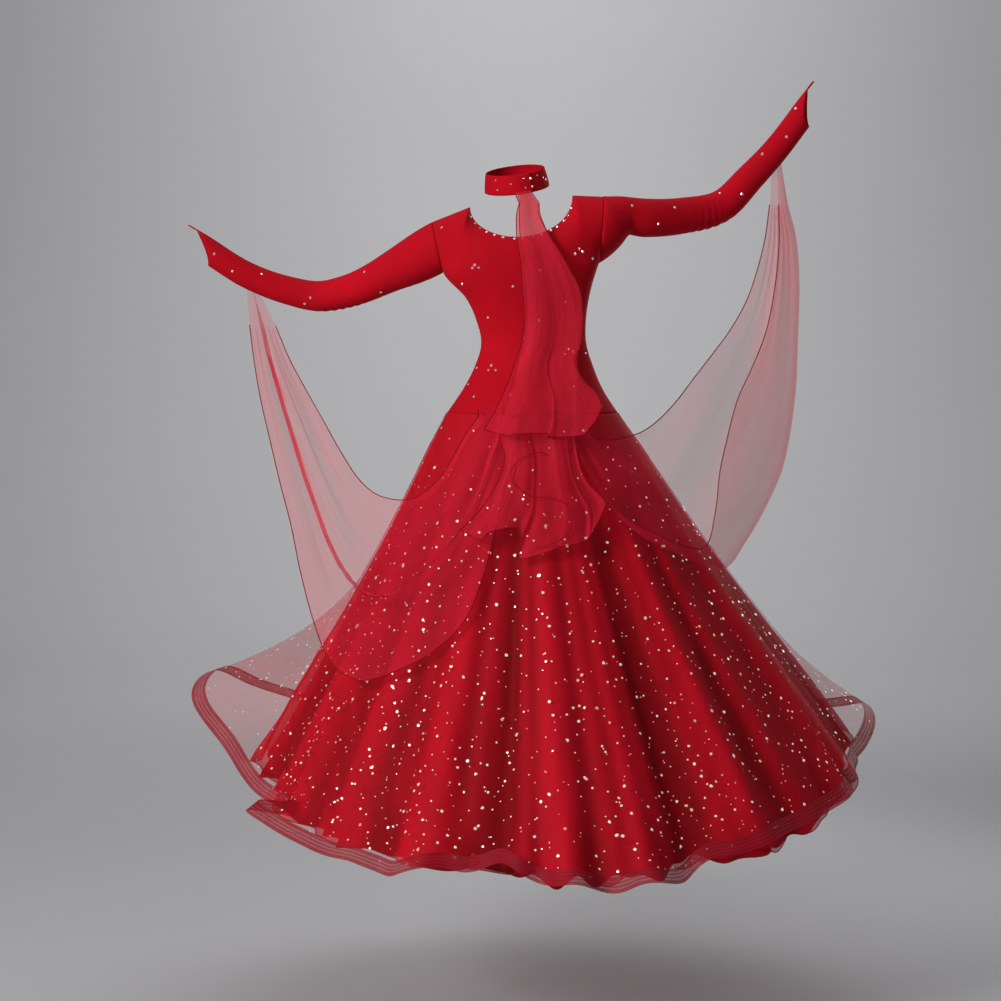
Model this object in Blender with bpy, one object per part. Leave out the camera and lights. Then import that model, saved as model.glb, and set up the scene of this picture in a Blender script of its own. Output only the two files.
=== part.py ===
"""A worn ballroom dance dress, modelled as the cloth pieces that a maker cuts and sews.

The hollow dress keeps the pose it is worn in, arms held out to the sides. Its back faces -Y,
its front faces +Y, +X is the wearer's right and +Z is up. The origin is the middle of the
neckline opening at shoulder height, where the wearer carries the dress. Sizes are in metres.
"""

import math

import bmesh
import bpy
import numpy as np


def table(columns, *rows):
    """Rows of numbers under named columns."""
    return np.rec.fromrecords(rows, names=columns)


# Thickness of the cloths, and the gaps between pieces
JERSEY = 0.0016
SHEER = 0.0012
SEAM_GAP = 0.0003
SIDE_SEAM_HALF_GAP = 0.0003
ARMHOLE_GAP = 0.0008

# The bodice: where its level sections lie and how far each reaches
TORSO = table(
    "height, left, right, back, front",
    (-0.3850, -0.1314, 0.1813, 0.118, 0.104),
    (-0.3450, -0.1040, 0.1554, 0.097, 0.094),
    (-0.3000, -0.0805, 0.1360, 0.077, 0.084),
    (-0.2590, -0.0688, 0.1236, 0.068, 0.080),
    (-0.2150, -0.0777, 0.1225, 0.070, 0.090),
    (-0.1750, -0.0962, 0.1277, 0.077, 0.106),
    (-0.1260, -0.1388, 0.1406, 0.086, 0.116),
    (-0.1100, -0.1410, 0.1460, 0.087, 0.114),
    (-0.0400, -0.1410, 0.1460, 0.084, 0.092),
    (0.0200, -0.1410, 0.1460, 0.074, 0.076),
)
SEAM_HEIGHT = TORSO.height[0]
TOP_HEIGHT = TORSO.height[-1]
LEFT, RIGHT = -1, 1
BACK, FRONT = -1, 1
BACKWARD = np.array([0.0, -1.0, 0.0])
UNDERARM = {LEFT: (-0.1388, -0.1260), RIGHT: (0.1460, -0.1100)}
SHOULDER = {LEFT: (-0.1590, -0.0360), RIGHT: (0.1560, 0.0100)}
NECK = {LEFT: (-0.0905, -0.0090), RIGHT: (0.0990, 0.0125)}
NECKLINE_LOW = {BACK: (-0.0045, -0.0660), FRONT: (0.0040, -0.0850)}
ARMHOLE_DEPTH = {BACK: 0.047, FRONT: 0.052}
NECKLINE_SHARE = 2.0 / 3.0
NAPE_ROUNDING = 0.62
ROUNDING_POWER = 2.4
SQUARE = 0.8
SQUARE_START = 0.35
SIDE_SHARPNESS = 10
BUST_FULLNESS = 0.014
BUST_SPOT = 0.46
BUST_SPREAD = 0.26
BUST_HEIGHT = -0.165
BUST_TALL = 0.055
PANEL_COLUMNS = 18
LOWER_ROWS = 8
ARMHOLE_STEPS = 7

# The sleeves: centre line and radius of the tube, from the armhole to the wrist
SLEEVES = {
    LEFT: table(
        "x, y, z, radius",
        (-0.2244, 0.030, -0.1192, 0.0365),
        (-0.3200, 0.070, -0.1600, 0.0295),
        (-0.3760, 0.090, -0.1690, 0.0275),
        (-0.4343, 0.090, -0.1578, 0.0255),
        (-0.5101, 0.080, -0.1290, 0.0235),
        (-0.5680, 0.070, -0.0930, 0.0225),
    ),
    RIGHT: table(
        "x, y, z, radius",
        (0.1900, 0.015, -0.0320, 0.0420),
        (0.2351, 0.030, -0.0298, 0.0370),
        (0.3041, 0.060, -0.0209, 0.0325),
        (0.3830, 0.088, 0.0010, 0.0290),
        (0.4320, 0.086, 0.0500, 0.0260),
        (0.4788, 0.080, 0.1010, 0.0235),
        (0.5220, 0.070, 0.1580, 0.0225),
    ),
}
SLEEVE_SIDES = 2 * ARMHOLE_STEPS
SLEEVE_RINGS = 17
ARMHOLE_BLEND = {LEFT: 0.30, RIGHT: 0.24}
ARMHOLE_EASE = 2.0
HAND_POINT = 0.052
HAND_POINT_POWER = 1.5
HAND_START = 0.8
SLEEVE_LOOK = 0.02
LOOP_RADIUS = 0.0095
LOOP_CORD = 0.0011
LOOP_GAP = 0.0009
LOOP_STEPS = 20
CORD_SIDES = 6

# The choker collar: a straight band that goes round the neck and overlaps itself at the back
COLLAR_CENTRE = (-0.0055, 0.012, 0.0430)
COLLAR_TOP_RADIUS = 0.0530
COLLAR_FOOT_RADIUS = 0.0585
COLLAR_TALL = 0.034
COLLAR_ROLL = math.radians(7.0)
COLLAR_LEAN = math.radians(-13.0)
COLLAR_OVERLAP = math.radians(22.0)
COLLAR_START = math.radians(4.0)
COLLAR_STEPS = 34
COLLAR_WALL = 0.0020
COLLAR_RISE = 0.9
COLLAR_LAST_STRETCH = 300.0

# The skirt: every layer leaves the hip seam, and its reach and drop at the hem are by direction
# Directions are in degrees from the middle of the back, positive towards the wearer's right
HEM_AXIS = (0.060, 0.0)
FULL_DROP = 0.755
UNDERSKIRT_HEM = table(
    "direction, reach, drop",
    (-180, 0.455, 0.700),
    (-140, 0.470, 0.680),
    (-110, 0.505, 0.660),
    (-88, 0.520, 0.652),
    (-60, 0.490, 0.722),
    (-30, 0.480, 0.742),
    (0, 0.485, 0.757),
    (30, 0.495, 0.745),
    (60, 0.530, 0.705),
    (88, 0.550, 0.615),
    (110, 0.520, 0.620),
    (140, 0.475, 0.670),
)
OUTER_HEM = table(
    "direction, reach, drop",
    (-180, 0.505, 0.720),
    (-145, 0.530, 0.680),
    (-128, 0.560, 0.610),
    (-116, 0.610, 0.545),
    (-104, 0.665, 0.505),
    (-95, 0.672, 0.530),
    (-87, 0.600, 0.635),
    (-79, 0.560, 0.685),
    (-69, 0.598, 0.678),
    (-58, 0.555, 0.715),
    (-40, 0.545, 0.746),
    (-22, 0.540, 0.742),
    (-8, 0.540, 0.728),
    (5, 0.545, 0.755),
    (25, 0.550, 0.748),
    (42, 0.555, 0.718),
    (55, 0.562, 0.684),
    (68, 0.578, 0.645),
    (78, 0.560, 0.628),
    (90, 0.600, 0.572),
    (102, 0.600, 0.540),
    (116, 0.560, 0.590),
    (145, 0.525, 0.675),
)
FOLDS = table(
    "direction, height, width",
    (-172, 0.024, 8.0),
    (-154, 0.022, 7.0),
    (-137, 0.026, 8.0),
    (-119, 0.024, 7.5),
    (-101, 0.024, 7.5),
    (-84, 0.020, 6.5),
    (-66, 0.026, 7.0),
    (-47, 0.022, 6.5),
    (-29, 0.030, 7.5),
    (-4, 0.034, 10.0),
    (13, 0.026, 6.5),
    (36, 0.034, 8.0),
    (53, 0.022, 6.5),
    (71, 0.028, 7.5),
    (90, 0.022, 7.0),
    (108, 0.024, 7.5),
    (126, 0.026, 7.5),
    (143, 0.022, 7.0),
    (162, 0.026, 8.0),
)
FOLD_MEAN = 0.011
FOLD_GROWTH = 1.25
UNDERSKIRT_FLARE = 1.06
LEAST_LIFT = 0.030
LIFT_POWER = 2.0
LIFT_POWER_BY_SIZE = 24.0
MOST_LIFT_POWER = 5.8
LAYER_STEP = SHEER + SEAM_GAP
LAYER_ROOM = 0.0030
LAYER_ROOM_DROP = 0.060
MIDDLE_SHARE = 0.30
MIDDLE_MOST = 0.020
MIDDLE_SHORTER = 0.004
MIDDLE_WAVES = 23
MIDDLE_WAVE = 0.008
FOLD_SHARE = {"underskirt": 1.0, "middle_skirt": 0.92, "outer_skirt": 0.85}
HALF_SKIRT_STEPS = 36
SKIRT_ROWS = (0.0, 0.10, 0.30, 0.53, 0.77, 1.0)
LIFT_ROW = 0.89
BRAID_WIDE = 0.028
BRAID_OFF = 0.0012

# The sheer wings between the forearms and the back of the hips: the two edges of each, station by
# station from the sleeve. The right wing's outer edge is folded back, and the last three columns
# say where the folded part ends.
LEFT_WING = table(
    "upper_x, upper_y, upper_z, lower_x, lower_y, lower_z",
    (-0.4570, 0.082, -0.225, -0.506, 0.083, -0.223),
    (-0.4300, 0.078, -0.289, -0.498, 0.080, -0.289),
    (-0.3960, 0.068, -0.351, -0.485, 0.072, -0.364),
    (-0.3630, 0.050, -0.407, -0.467, 0.060, -0.439),
    (-0.3330, 0.020, -0.456, -0.447, 0.040, -0.517),
    (-0.2990, -0.020, -0.503, -0.424, 0.010, -0.595),
    (-0.2660, -0.055, -0.530, -0.404, -0.030, -0.675),
    (-0.2320, -0.080, -0.540, -0.376, -0.090, -0.758),
    (-0.1990, -0.100, -0.539, -0.338, -0.190, -0.819),
    (-0.1700, -0.122, -0.524, -0.281, -0.252, -0.846),
    (-0.1410, -0.126, -0.495, -0.209, -0.282, -0.822),
    (-0.1200, -0.124, -0.462, -0.148, -0.294, -0.787),
    (-0.1050, -0.120, -0.434, -0.096, -0.292, -0.735),
    (-0.0930, -0.120, -0.414, -0.066, -0.262, -0.665),
    (-0.0840, -0.122, -0.402, -0.045, -0.230, -0.590),
    (-0.0780, -0.124, -0.394, -0.025, -0.190, -0.508),
    (-0.0740, -0.125, -0.388, -0.006, -0.150, -0.438),
)
RIGHT_WING = table(
    "upper_x, upper_y, upper_z, lower_x, lower_y, lower_z, folded_x, folded_y, folded_z",
    (0.470, 0.080, 0.001, 0.500, 0.080, 0.001, 0.485, 0.074, 0.001),
    (0.461, 0.078, -0.065, 0.516, 0.078, -0.065, 0.486, 0.072, -0.070),
    (0.444, 0.070, -0.130, 0.522, 0.075, -0.149, 0.479, 0.066, -0.149),
    (0.422, 0.055, -0.186, 0.520, 0.070, -0.242, 0.462, 0.054, -0.233),
    (0.390, 0.030, -0.237, 0.516, 0.060, -0.336, 0.433, 0.036, -0.304),
    (0.356, 0.000, -0.279, 0.505, 0.045, -0.419, 0.404, 0.010, -0.363),
    (0.321, -0.030, -0.321, 0.486, 0.020, -0.493, 0.383, -0.020, -0.431),
    (0.288, -0.050, -0.362, 0.452, -0.010, -0.561, 0.367, -0.050, -0.491),
    (0.256, -0.070, -0.394, 0.414, -0.050, -0.617, 0.356, -0.090, -0.557),
    (0.224, -0.090, -0.416, 0.373, -0.092, -0.662, 0.337, -0.120, -0.620),
    (0.188, -0.110, -0.427, 0.318, -0.148, -0.646, 0.292, -0.166, -0.616),
    (0.156, -0.124, -0.430, 0.262, -0.176, -0.620, 0.240, -0.190, -0.592),
    (0.136, -0.134, -0.427, 0.210, -0.192, -0.592, 0.192, -0.204, -0.566),
    (0.125, -0.134, -0.416, 0.166, -0.188, -0.550, 0.152, -0.200, -0.528),
    (0.119, -0.130, -0.404, 0.128, -0.166, -0.494, 0.118, -0.176, -0.476),
    (0.116, -0.127, -0.394, 0.097, -0.144, -0.436, 0.090, -0.152, -0.426),
)
WING_SLEEVE_SEAT = {LEFT: (-0.484, -0.510), RIGHT: (0.472, 0.490)}
WING_BACK_SEAT = {LEFT: (-0.071, 0.004), RIGHT: (0.113, 0.072)}
WING_BACK_ROW = 0.75
WING_BEND_ROW = 0.22
WING_BEND_OFF = 0.0075
WING_STATIONS = 25
WING_ACROSS = {LEFT: 10, RIGHT: 7}
FOLD_BACK_STEPS = 4
FOLD_BACK_TURNS = 3
FOLD_BACK_RADIUS = 0.005
FLAP_AT_SLEEVE = 0.0009
FLAP_SPREAD = 0.009
FLAP_ALONG_SLEEVE = 0.5
FLAP_ALONG_HIP = 1.0 / 6.0
FLAP_AT_HIP = 0.005
FLAP_DROP = 0.003
WING_WAVES = {LEFT: 2.4, RIGHT: 1.6}
WING_WAVE = {LEFT: 0.016, RIGHT: 0.010}
WING_DRIFT = 1.1
SEAT_GAP = 0.0006
WING_CLEARANCE = 0.007
WINDOW_DEGREES = (-8.0, -4.0, 0.0, 4.0, 8.0)

# The two floats gathered under the collar: edges, distance off the dress and folds, by height
LONG_FLOAT = table(
    "height, left, right, depth, off, fold",
    (-0.004, 0.001, 0.034, -0.0525, 0.000, 0.0015),
    (-0.026, 0.000, 0.036, -0.0620, 0.000, 0.0020),
    (-0.062, 0.001, 0.052, -0.0780, 0.000, 0.0020),
    (-0.092, 0.004, 0.066, -0.0860, 0.0030, 0.0025),
    (-0.130, 0.008, 0.082, -0.0870, 0.0022, 0.0030),
    (-0.180, 0.012, 0.098, -0.0770, 0.0021, 0.0040),
    (-0.222, 0.010, 0.106, -0.0700, 0.0021, 0.0050),
    (-0.270, 0.002, 0.106, -0.0740, 0.0040, 0.0060),
    (-0.320, -0.010, 0.104, -0.1050, 0.014, 0.0070),
    (-0.360, -0.022, 0.102, -0.1240, 0.020, 0.0080),
    (-0.390, -0.030, 0.100, -0.1400, 0.026, 0.0080),
    (-0.422, -0.034, 0.098, -0.1580, 0.028, 0.0090),
    (-0.455, -0.026, 0.102, -0.1780, 0.028, 0.0100),
    (-0.489, -0.032, 0.110, -0.1940, 0.028, 0.0120),
    (-0.517, -0.046, 0.124, -0.2040, 0.026, 0.0140),
    (-0.545, -0.062, 0.143, -0.2140, 0.024, 0.0160),
    (-0.572, -0.080, 0.146, -0.2240, 0.022, 0.0170),
    (-0.604, -0.104, 0.128, -0.2400, 0.020, 0.0180),
)
SHORT_FLOAT = table(
    "height, left, right, depth, off, fold",
    (-0.004, 0.000, 0.036, -0.0590, 0.000, 0.0015),
    (-0.026, -0.005, 0.038, -0.0690, 0.000, 0.0020),
    (-0.062, -0.005, 0.053, -0.0855, 0.000, 0.0020),
    (-0.092, -0.001, 0.072, -0.0950, 0.011, 0.0025),
    (-0.121, 0.003, 0.088, -0.1000, 0.012, 0.0030),
    (-0.159, 0.005, 0.108, -0.1000, 0.014, 0.0040),
    (-0.194, 0.008, 0.113, -0.0970, 0.016, 0.0050),
    (-0.222, 0.008, 0.114, -0.0960, 0.019, 0.0060),
    (-0.260, 0.003, 0.110, -0.1000, 0.023, 0.0070),
    (-0.291, -0.008, 0.100, -0.1060, 0.027, 0.0080),
    (-0.324, -0.019, 0.112, -0.1200, 0.031, 0.0090),
    (-0.355, -0.032, 0.136, -0.1400, 0.037, 0.0100),
    (-0.390, -0.048, 0.141, -0.1600, 0.044, 0.0110),
    (-0.421, -0.064, 0.122, -0.1780, 0.046, 0.0120),
)
FLOAT_ACROSS = 14
FLOAT_FOLDS = 2.5
FLOAT_HEM_WAVE = 0.012
FLOAT_HEM_WAVES = 2
FLOAT_HEM_SHARPNESS = 8
FLOAT_TOP = {"neck_float_long": (-1.0, 22.0), "neck_float_short": (-4.0, 23.0)}
FLOAT_LAP = 0.0045
FLOAT_BEND = 0.0010
FLOAT_BEND_OFF = 0.0030

RIM_ANGLE = math.radians(60.0)
ROUGHNESS = {"jersey": 0.55, "satin": 0.42, "organza": 0.60, "tulle": 0.65, "braid": 0.70}
COLOURS = {
    "jersey": (0.42, 0.008, 0.016, 1.0),
    "satin": (0.50, 0.008, 0.018, 1.0),
    "organza": (0.55, 0.030, 0.045, 1.0),
    "tulle": (0.52, 0.015, 0.028, 1.0),
    "braid": (0.30, 0.012, 0.022, 1.0),
}


def flowing(at, knots, values, period=None):
    """Cubic curve through (knots, values), read at the positions `at`; closed when it has a period."""
    knots = np.asarray(knots, float)
    values = np.asarray(values, float)
    at = np.asarray(at, float)
    if period:
        knots = np.concatenate([knots - period, knots, knots + period])
        values = np.concatenate([values, values, values])
        at = (at - knots[0]) % period + knots[0] + period
    slope = np.gradient(values, knots, axis=0)
    i = np.clip(np.searchsorted(knots, at, side="right") - 1, 0, len(knots) - 2)
    step = knots[i + 1] - knots[i]
    h = np.clip((at - knots[i]) / step, 0.0, 1.0)
    if values.ndim > 1:
        h = h[..., None]
        step = step[..., None]
    return (
        (1 + 2 * h) * (1 - h) ** 2 * values[i]
        + h * (1 - h) ** 2 * step * slope[i]
        + h**2 * (3 - 2 * h) * values[i + 1]
        - h**2 * (1 - h) * step * slope[i + 1]
    )


def numbers(rows):
    """A table's rows as a plain array."""
    return np.array(rows.tolist(), float)


def smooth_step(value):
    """0 below 0, 1 above 1, and an S-shaped rise between."""
    value = np.clip(value, 0.0, 1.0)
    return value * value * (3.0 - 2.0 * value)


def unit(vectors):
    """The same vectors at length one."""
    size = np.linalg.norm(vectors, axis=-1, keepdims=True)
    return vectors / np.maximum(size, 1e-12)


def grid_normals(grid, side, closed=False):
    """Normals of a grid of points, from the directions of its rows and columns."""
    down = np.gradient(grid, axis=0)
    if closed:
        across = (np.roll(grid, -1, axis=1) - np.roll(grid, 1, axis=1)) / 2
    else:
        across = np.gradient(grid, axis=1)
    return side * unit(np.cross(across, down))


def cloth_wall(name, outer, thickness, colour, side=1, closed=False, normals=None):
    """A closed wall: the outer grid, the same grid moved in by the thickness, and rims between them."""
    if normals is None:
        normals = grid_normals(outer, side, closed)
    inner = outer - normals * thickness
    rows, columns = outer.shape[:2]
    points = np.concatenate([outer.reshape(-1, 3), inner.reshape(-1, 3)])
    under = rows * columns

    def at(i, j):
        return i * columns + j % columns

    faces = []
    spans = columns if closed else columns - 1
    for i in range(rows - 1):
        for j in range(spans):
            a, b, c, d = at(i, j), at(i, j + 1), at(i + 1, j + 1), at(i + 1, j)
            halves = ((a, b, c), (a, c, d)) if (i + j) % 2 else ((a, b, d), (b, c, d))
            for half in halves:
                faces.append(half)
                faces.append(tuple(under + k for k in reversed(half)))
    for j in range(spans):
        faces.append((at(0, j + 1), at(0, j), under + at(0, j), under + at(0, j + 1)))
        last = rows - 1
        faces.append((at(last, j), at(last, j + 1), under + at(last, j + 1), under + at(last, j)))
    if not closed:
        for i in range(rows - 1):
            faces.append((at(i, 0), at(i + 1, 0), under + at(i + 1, 0), under + at(i, 0)))
            last = columns - 1
            faces.append((at(i + 1, last), at(i, last), under + at(i, last), under + at(i + 1, last)))
    if side < 0:
        faces = [tuple(reversed(face)) for face in faces]
    mesh = bpy.data.meshes.new(name)
    mesh.from_pydata([tuple(p) for p in points], [], faces)
    mesh.validate()
    link(name, mesh, colour)


def link(name, mesh, colour):
    """An object of a finished mesh, smooth but for its rims, in its own material."""
    mesh.shade_smooth()
    mesh.set_sharp_from_angle(angle=RIM_ANGLE)
    mesh.materials.append(finish(name, colour))
    bpy.context.scene.collection.objects.link(bpy.data.objects.new(name, mesh))


def finish(name, colour):
    """A piece's own Principled material, in the colour of its cloth."""
    material = bpy.data.materials.new(name)
    material.use_nodes = True
    shader = material.node_tree.nodes["Principled BSDF"]
    shader.inputs["Base Color"].default_value = COLOURS[colour]
    shader.inputs["Roughness"].default_value = ROUGHNESS[colour]
    shader.inputs["Metallic"].default_value = 0.0
    return material


def torso_at(height):
    """Centre, half width, back and front depth of the torso section at each height."""
    sides = numbers(TORSO)[:, 1:]
    left, right, back, front = np.moveaxis(flowing(height, TORSO.height, sides), -1, 0)
    return (left + right) / 2, (right - left) / 2, back, front


def top_edge(face, u):
    """The bodice panel's top edge, x and height, for u from -1 to 1: shoulder, neckline, shoulder."""
    low_x, low_z = NECKLINE_LOW[face]
    x = np.zeros_like(u)
    z = np.zeros_like(u)
    for side in (LEFT, RIGHT):
        mine = u * side >= 0
        share = np.abs(u[mine])
        neck_x, neck_z = NECK[side]
        shoulder_x, shoulder_z = SHOULDER[side]
        turn = np.clip(share / NECKLINE_SHARE, 0, 1) * math.pi / 2
        out = np.clip((share - NECKLINE_SHARE) / (1 - NECKLINE_SHARE), 0, 1)
        x[mine] = low_x + (neck_x - low_x) * np.sin(turn) + (shoulder_x - neck_x) * out
        z[mine] = low_z + (neck_z - low_z) * (1 - np.cos(turn)) + (shoulder_z - neck_z) * out
    return x, z


def bodice_grid(face):
    """Points of the back or front bodice: level rows up to the underarm, then rows up the armhole."""
    u = np.linspace(-1, 1, PANEL_COLUMNS + 1)
    armpit = underarm_height(u)
    wave = np.cos(u * math.pi / 2)
    inside = 1 - np.abs(u) ** SIDE_SHARPNESS
    rows = []
    for v in np.linspace(0, 1, LOWER_ROWS + 1):
        z = SEAM_HEIGHT + (armpit - SEAM_HEIGHT) * v
        centre, half = torso_at(z)[:2]
        rows.append((centre + half * np.sin(u * math.pi / 2), face * panel_depth(face, u, z), z))
    low_x = rows[-1][0]
    top_x, top_z = top_edge(face, u)
    rise = smooth_step(np.abs(u) / NECKLINE_SHARE)
    rounding = NAPE_ROUNDING + (1 - NAPE_ROUNDING) * rise
    for step in range(1, ARMHOLE_STEPS + 1):
        turn = math.pi * step / ARMHOLE_STEPS
        q = (1 - math.cos(turn)) / 2
        x = low_x + (top_x - low_x) * q
        z = armpit + (top_z - armpit) * q
        back, front = torso_at(z)[2:]
        full = back if face == BACK else front + bust(u, z)
        square = SQUARE + (1 - SQUARE) * smooth_step(2 * q) if q < 0.5 else math.sin(turn)
        edge = ARMHOLE_DEPTH[face] * (square * inside + math.sin(turn) * (1 - inside))
        dome = np.sqrt(np.clip(1 - (q * rounding) ** ROUNDING_POWER, 0, 1))
        rows.append((x, face * (edge + (full * dome - edge) * wave), z))
    grid = np.stack([np.stack(row, axis=-1) for row in rows])
    grid[..., 1] += face * SIDE_SEAM_HALF_GAP
    return grid


def underarm_height(u):
    """Height of the underarm, between the left side's and the right side's."""
    return UNDERARM[LEFT][1] + (UNDERARM[RIGHT][1] - UNDERARM[LEFT][1]) * (u + 1) / 2


def panel_depth(face, u, z):
    """Depth of a panel below the underarm: a half ellipse that grows squarer on its way up."""
    back, front = torso_at(z)[2:]
    full = back if face == BACK else front + bust(u, z)
    up = (z - SEAM_HEIGHT) / (underarm_height(u) - SEAM_HEIGHT)
    square = SQUARE * smooth_step((up - SQUARE_START) / (1 - SQUARE_START))
    wave = np.cos(u * math.pi / 2)
    inside = 1 - np.abs(u) ** SIDE_SHARPNESS
    return full * wave + ARMHOLE_DEPTH[face] * square * inside * (1 - wave)


def bust(u, z):
    """Extra depth that the front's darts give, either side of the middle."""
    across = np.exp(-(((np.abs(u) - BUST_SPOT) / BUST_SPREAD) ** 2))
    tall = np.exp(-(((z - BUST_HEIGHT) / BUST_TALL) ** 2))
    return BUST_FULLNESS * across * tall


def bodice(face):
    """One bodice panel; at side and shoulder seams its wall is square to the seam plane."""
    grid = bodice_grid(face)
    normals = grid_normals(grid, -face)
    shoulder = np.abs(np.linspace(-1, 1, PANEL_COLUMNS + 1)) >= NECKLINE_SHARE - 1e-6
    seams = np.zeros(grid.shape[:2], bool)
    seams[: LOWER_ROWS + 1, [0, -1]] = True
    seams[-1, shoulder] = True
    normals[seams, 1] = 0.0
    normals[0, :, 2] = 0.0
    normals = unit(normals)
    name = "bodice_back" if face == BACK else "bodice_front"
    cloth_wall(name, grid, JERSEY, "jersey", side=-face, normals=normals)


def armhole_ring(side):
    """Points round one armhole, from the shoulder over the back and under the arm to the front."""
    back, front = (
        bodice_grid(face)[LOWER_ROWS:, 0 if side == LEFT else -1] for face in (BACK, FRONT)
    )
    ring = np.concatenate([back[::-1], front[1:-1]])
    middle = 0.5 * (back[-1] + front[-1])
    ring[0] = middle
    ring[ARMHOLE_STEPS, 1] = 0.5 * (back[0, 1] + front[0, 1])
    return ring


def sleeve_path(side):
    """Centres and radii along a sleeve, the share of its length at each, and the armhole's ring."""
    ring = armhole_ring(side)
    start = ring.mean(axis=0)
    reach = np.linalg.norm(ring - start, axis=1).mean()
    rows = np.vstack([np.append(start, reach), numbers(SLEEVES[side])])
    run = np.concatenate([[0], np.cumsum(np.linalg.norm(np.diff(rows[:, :3], axis=0), axis=1))])
    return rows, run / run[-1], ring


def sleeve_grid(side):
    """Rings of a sleeve, from the armhole's own shape to round ones, the last drawn out to a point."""
    rows, knots, ring = sleeve_path(side)
    shares = np.linspace(0, 1, SLEEVE_RINGS + 1)
    centre_radius = flowing(shares, knots, rows)
    ahead = flowing(np.clip(shares + SLEEVE_LOOK, 0, 1), knots, rows)[:, :3]
    behind = flowing(np.clip(shares - SLEEVE_LOOK, 0, 1), knots, rows)[:, :3]
    along = unit(ahead - behind)
    across = unit(np.cross(along, np.array([0.0, 0.0, 1.0]))) * side
    upward = unit(np.cross(across, along)) * side
    turn = np.arange(SLEEVE_SIDES) * 2 * math.pi / SLEEVE_SIDES
    point = ((1 + np.cos(turn)) / 2) ** HAND_POINT_POWER
    grid = []
    for share, row, way, out, up in zip(shares, centre_radius, along, across, upward):
        backward = -out * np.sign(out[1])
        round_ring = row[:3] + row[3] * (np.cos(turn)[:, None] * up + np.sin(turn)[:, None] * backward)
        keep = (1 - np.clip(share / ARMHOLE_BLEND[side], 0, 1)) ** ARMHOLE_EASE
        carried = ring - rows[0, :3] + row[:3]
        drawn = HAND_POINT * point[:, None] * smooth_step((share - HAND_START) / (1 - HAND_START)) * way
        grid.append(carried * keep + round_ring * (1 - keep) + drawn)
    grid = np.stack(grid)
    grid += ARMHOLE_GAP * along[0]
    return grid


def sleeve(side):
    """One fitted sleeve."""
    name = "sleeve_left" if side == LEFT else "sleeve_right"
    cloth_wall(name, sleeve_grid(side), JERSEY, "jersey", side=side, closed=True)


def finger_loop(side):
    """The thin elastic loop at the sleeve's point that goes over a finger."""
    grid = sleeve_grid(side)
    tip = grid[-1, 0]
    along = unit(grid[-1, 0] - grid[-2, 0])
    outward = unit(grid[-1, 0] - grid[-1, ARMHOLE_STEPS])
    tube = np.cross(along, outward)
    centre = tip + along * (LOOP_RADIUS + LOOP_CORD + LOOP_GAP) - outward * JERSEY / 2
    turns = np.arange(LOOP_STEPS) * 2 * math.pi / LOOP_STEPS
    sides = np.arange(CORD_SIDES)[None, :, None] * 2 * math.pi / CORD_SIDES
    ring = (np.cos(turns)[:, None] * along + np.sin(turns)[:, None] * tube)[:, None, :]
    points = centre + LOOP_RADIUS * ring + LOOP_CORD * (np.cos(sides) * ring + np.sin(sides) * outward)

    def at(i, j):
        return (i % LOOP_STEPS) * CORD_SIDES + j % CORD_SIDES

    faces = [
        (at(i, j), at(i + 1, j), at(i + 1, j + 1), at(i, j + 1))
        for i in range(LOOP_STEPS)
        for j in range(CORD_SIDES)
    ]
    name = "finger_loop_left" if side == LEFT else "finger_loop_right"
    solid(name, points.reshape(-1, 3), faces, "jersey")


def solid(name, points, faces, colour):
    """A closed mesh object, its faces turned outwards."""
    mesh = bpy.data.meshes.new(name)
    mesh.from_pydata([tuple(p) for p in points], [], faces)
    work = bmesh.new()
    work.from_mesh(mesh)
    bmesh.ops.recalc_face_normals(work, faces=work.faces)
    work.to_mesh(mesh)
    work.free()
    link(name, mesh, colour)


def collar_grid():
    """The choker's points and directions: a band that winds once round and laps over its own start."""
    turn = np.linspace(0, 2 * math.pi + COLLAR_OVERLAP, COLLAR_STEPS + 1)
    lap = smooth_step((turn - 2 * math.pi) / COLLAR_RISE + 1) * (COLLAR_WALL + SEAM_GAP)
    way = COLLAR_START + turn
    rows = []
    for share in (0.0, 0.5, 1.0):
        reach = COLLAR_TOP_RADIUS + (COLLAR_FOOT_RADIUS - COLLAR_TOP_RADIUS) * share + lap
        height = np.full_like(way, COLLAR_TALL * (0.5 - share))
        rows.append(np.stack([reach * np.sin(way), -reach * np.cos(way), height], axis=-1))
    return turned(np.stack(rows)), np.degrees(way)


def collar():
    """The choker band."""
    cloth_wall("collar", collar_grid()[0], COLLAR_WALL, "jersey", side=-1)


def turned(points):
    """Collar points leaned and rolled with the neck, and set at its place."""
    lean = np.array(
        [
            [1, 0, 0],
            [0, math.cos(COLLAR_LEAN), math.sin(COLLAR_LEAN)],
            [0, -math.sin(COLLAR_LEAN), math.cos(COLLAR_LEAN)],
        ]
    )
    roll = np.array(
        [
            [math.cos(COLLAR_ROLL), 0, -math.sin(COLLAR_ROLL)],
            [0, 1, 0],
            [math.sin(COLLAR_ROLL), 0, math.cos(COLLAR_ROLL)],
        ]
    )
    return points @ (roll @ lean).T + np.array(COLLAR_CENTRE)


def by_direction(hem, direction):
    """Reach and drop of a hem, read round the whole turn."""
    values = np.stack([hem.reach, hem.drop], axis=-1)
    return np.moveaxis(flowing(direction, hem.direction, values, period=360.0), -1, 0)


def fold_field(direction):
    """How far the folds stand out at full growth, summed from their table round the whole turn."""
    total = np.full(np.shape(direction), -FOLD_MEAN)
    for fold in FOLDS:
        away = (np.asarray(direction) - fold.direction + 180) % 360 - 180
        total = total + fold.height * np.exp(-((away / fold.width) ** 2))
    return total


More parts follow.
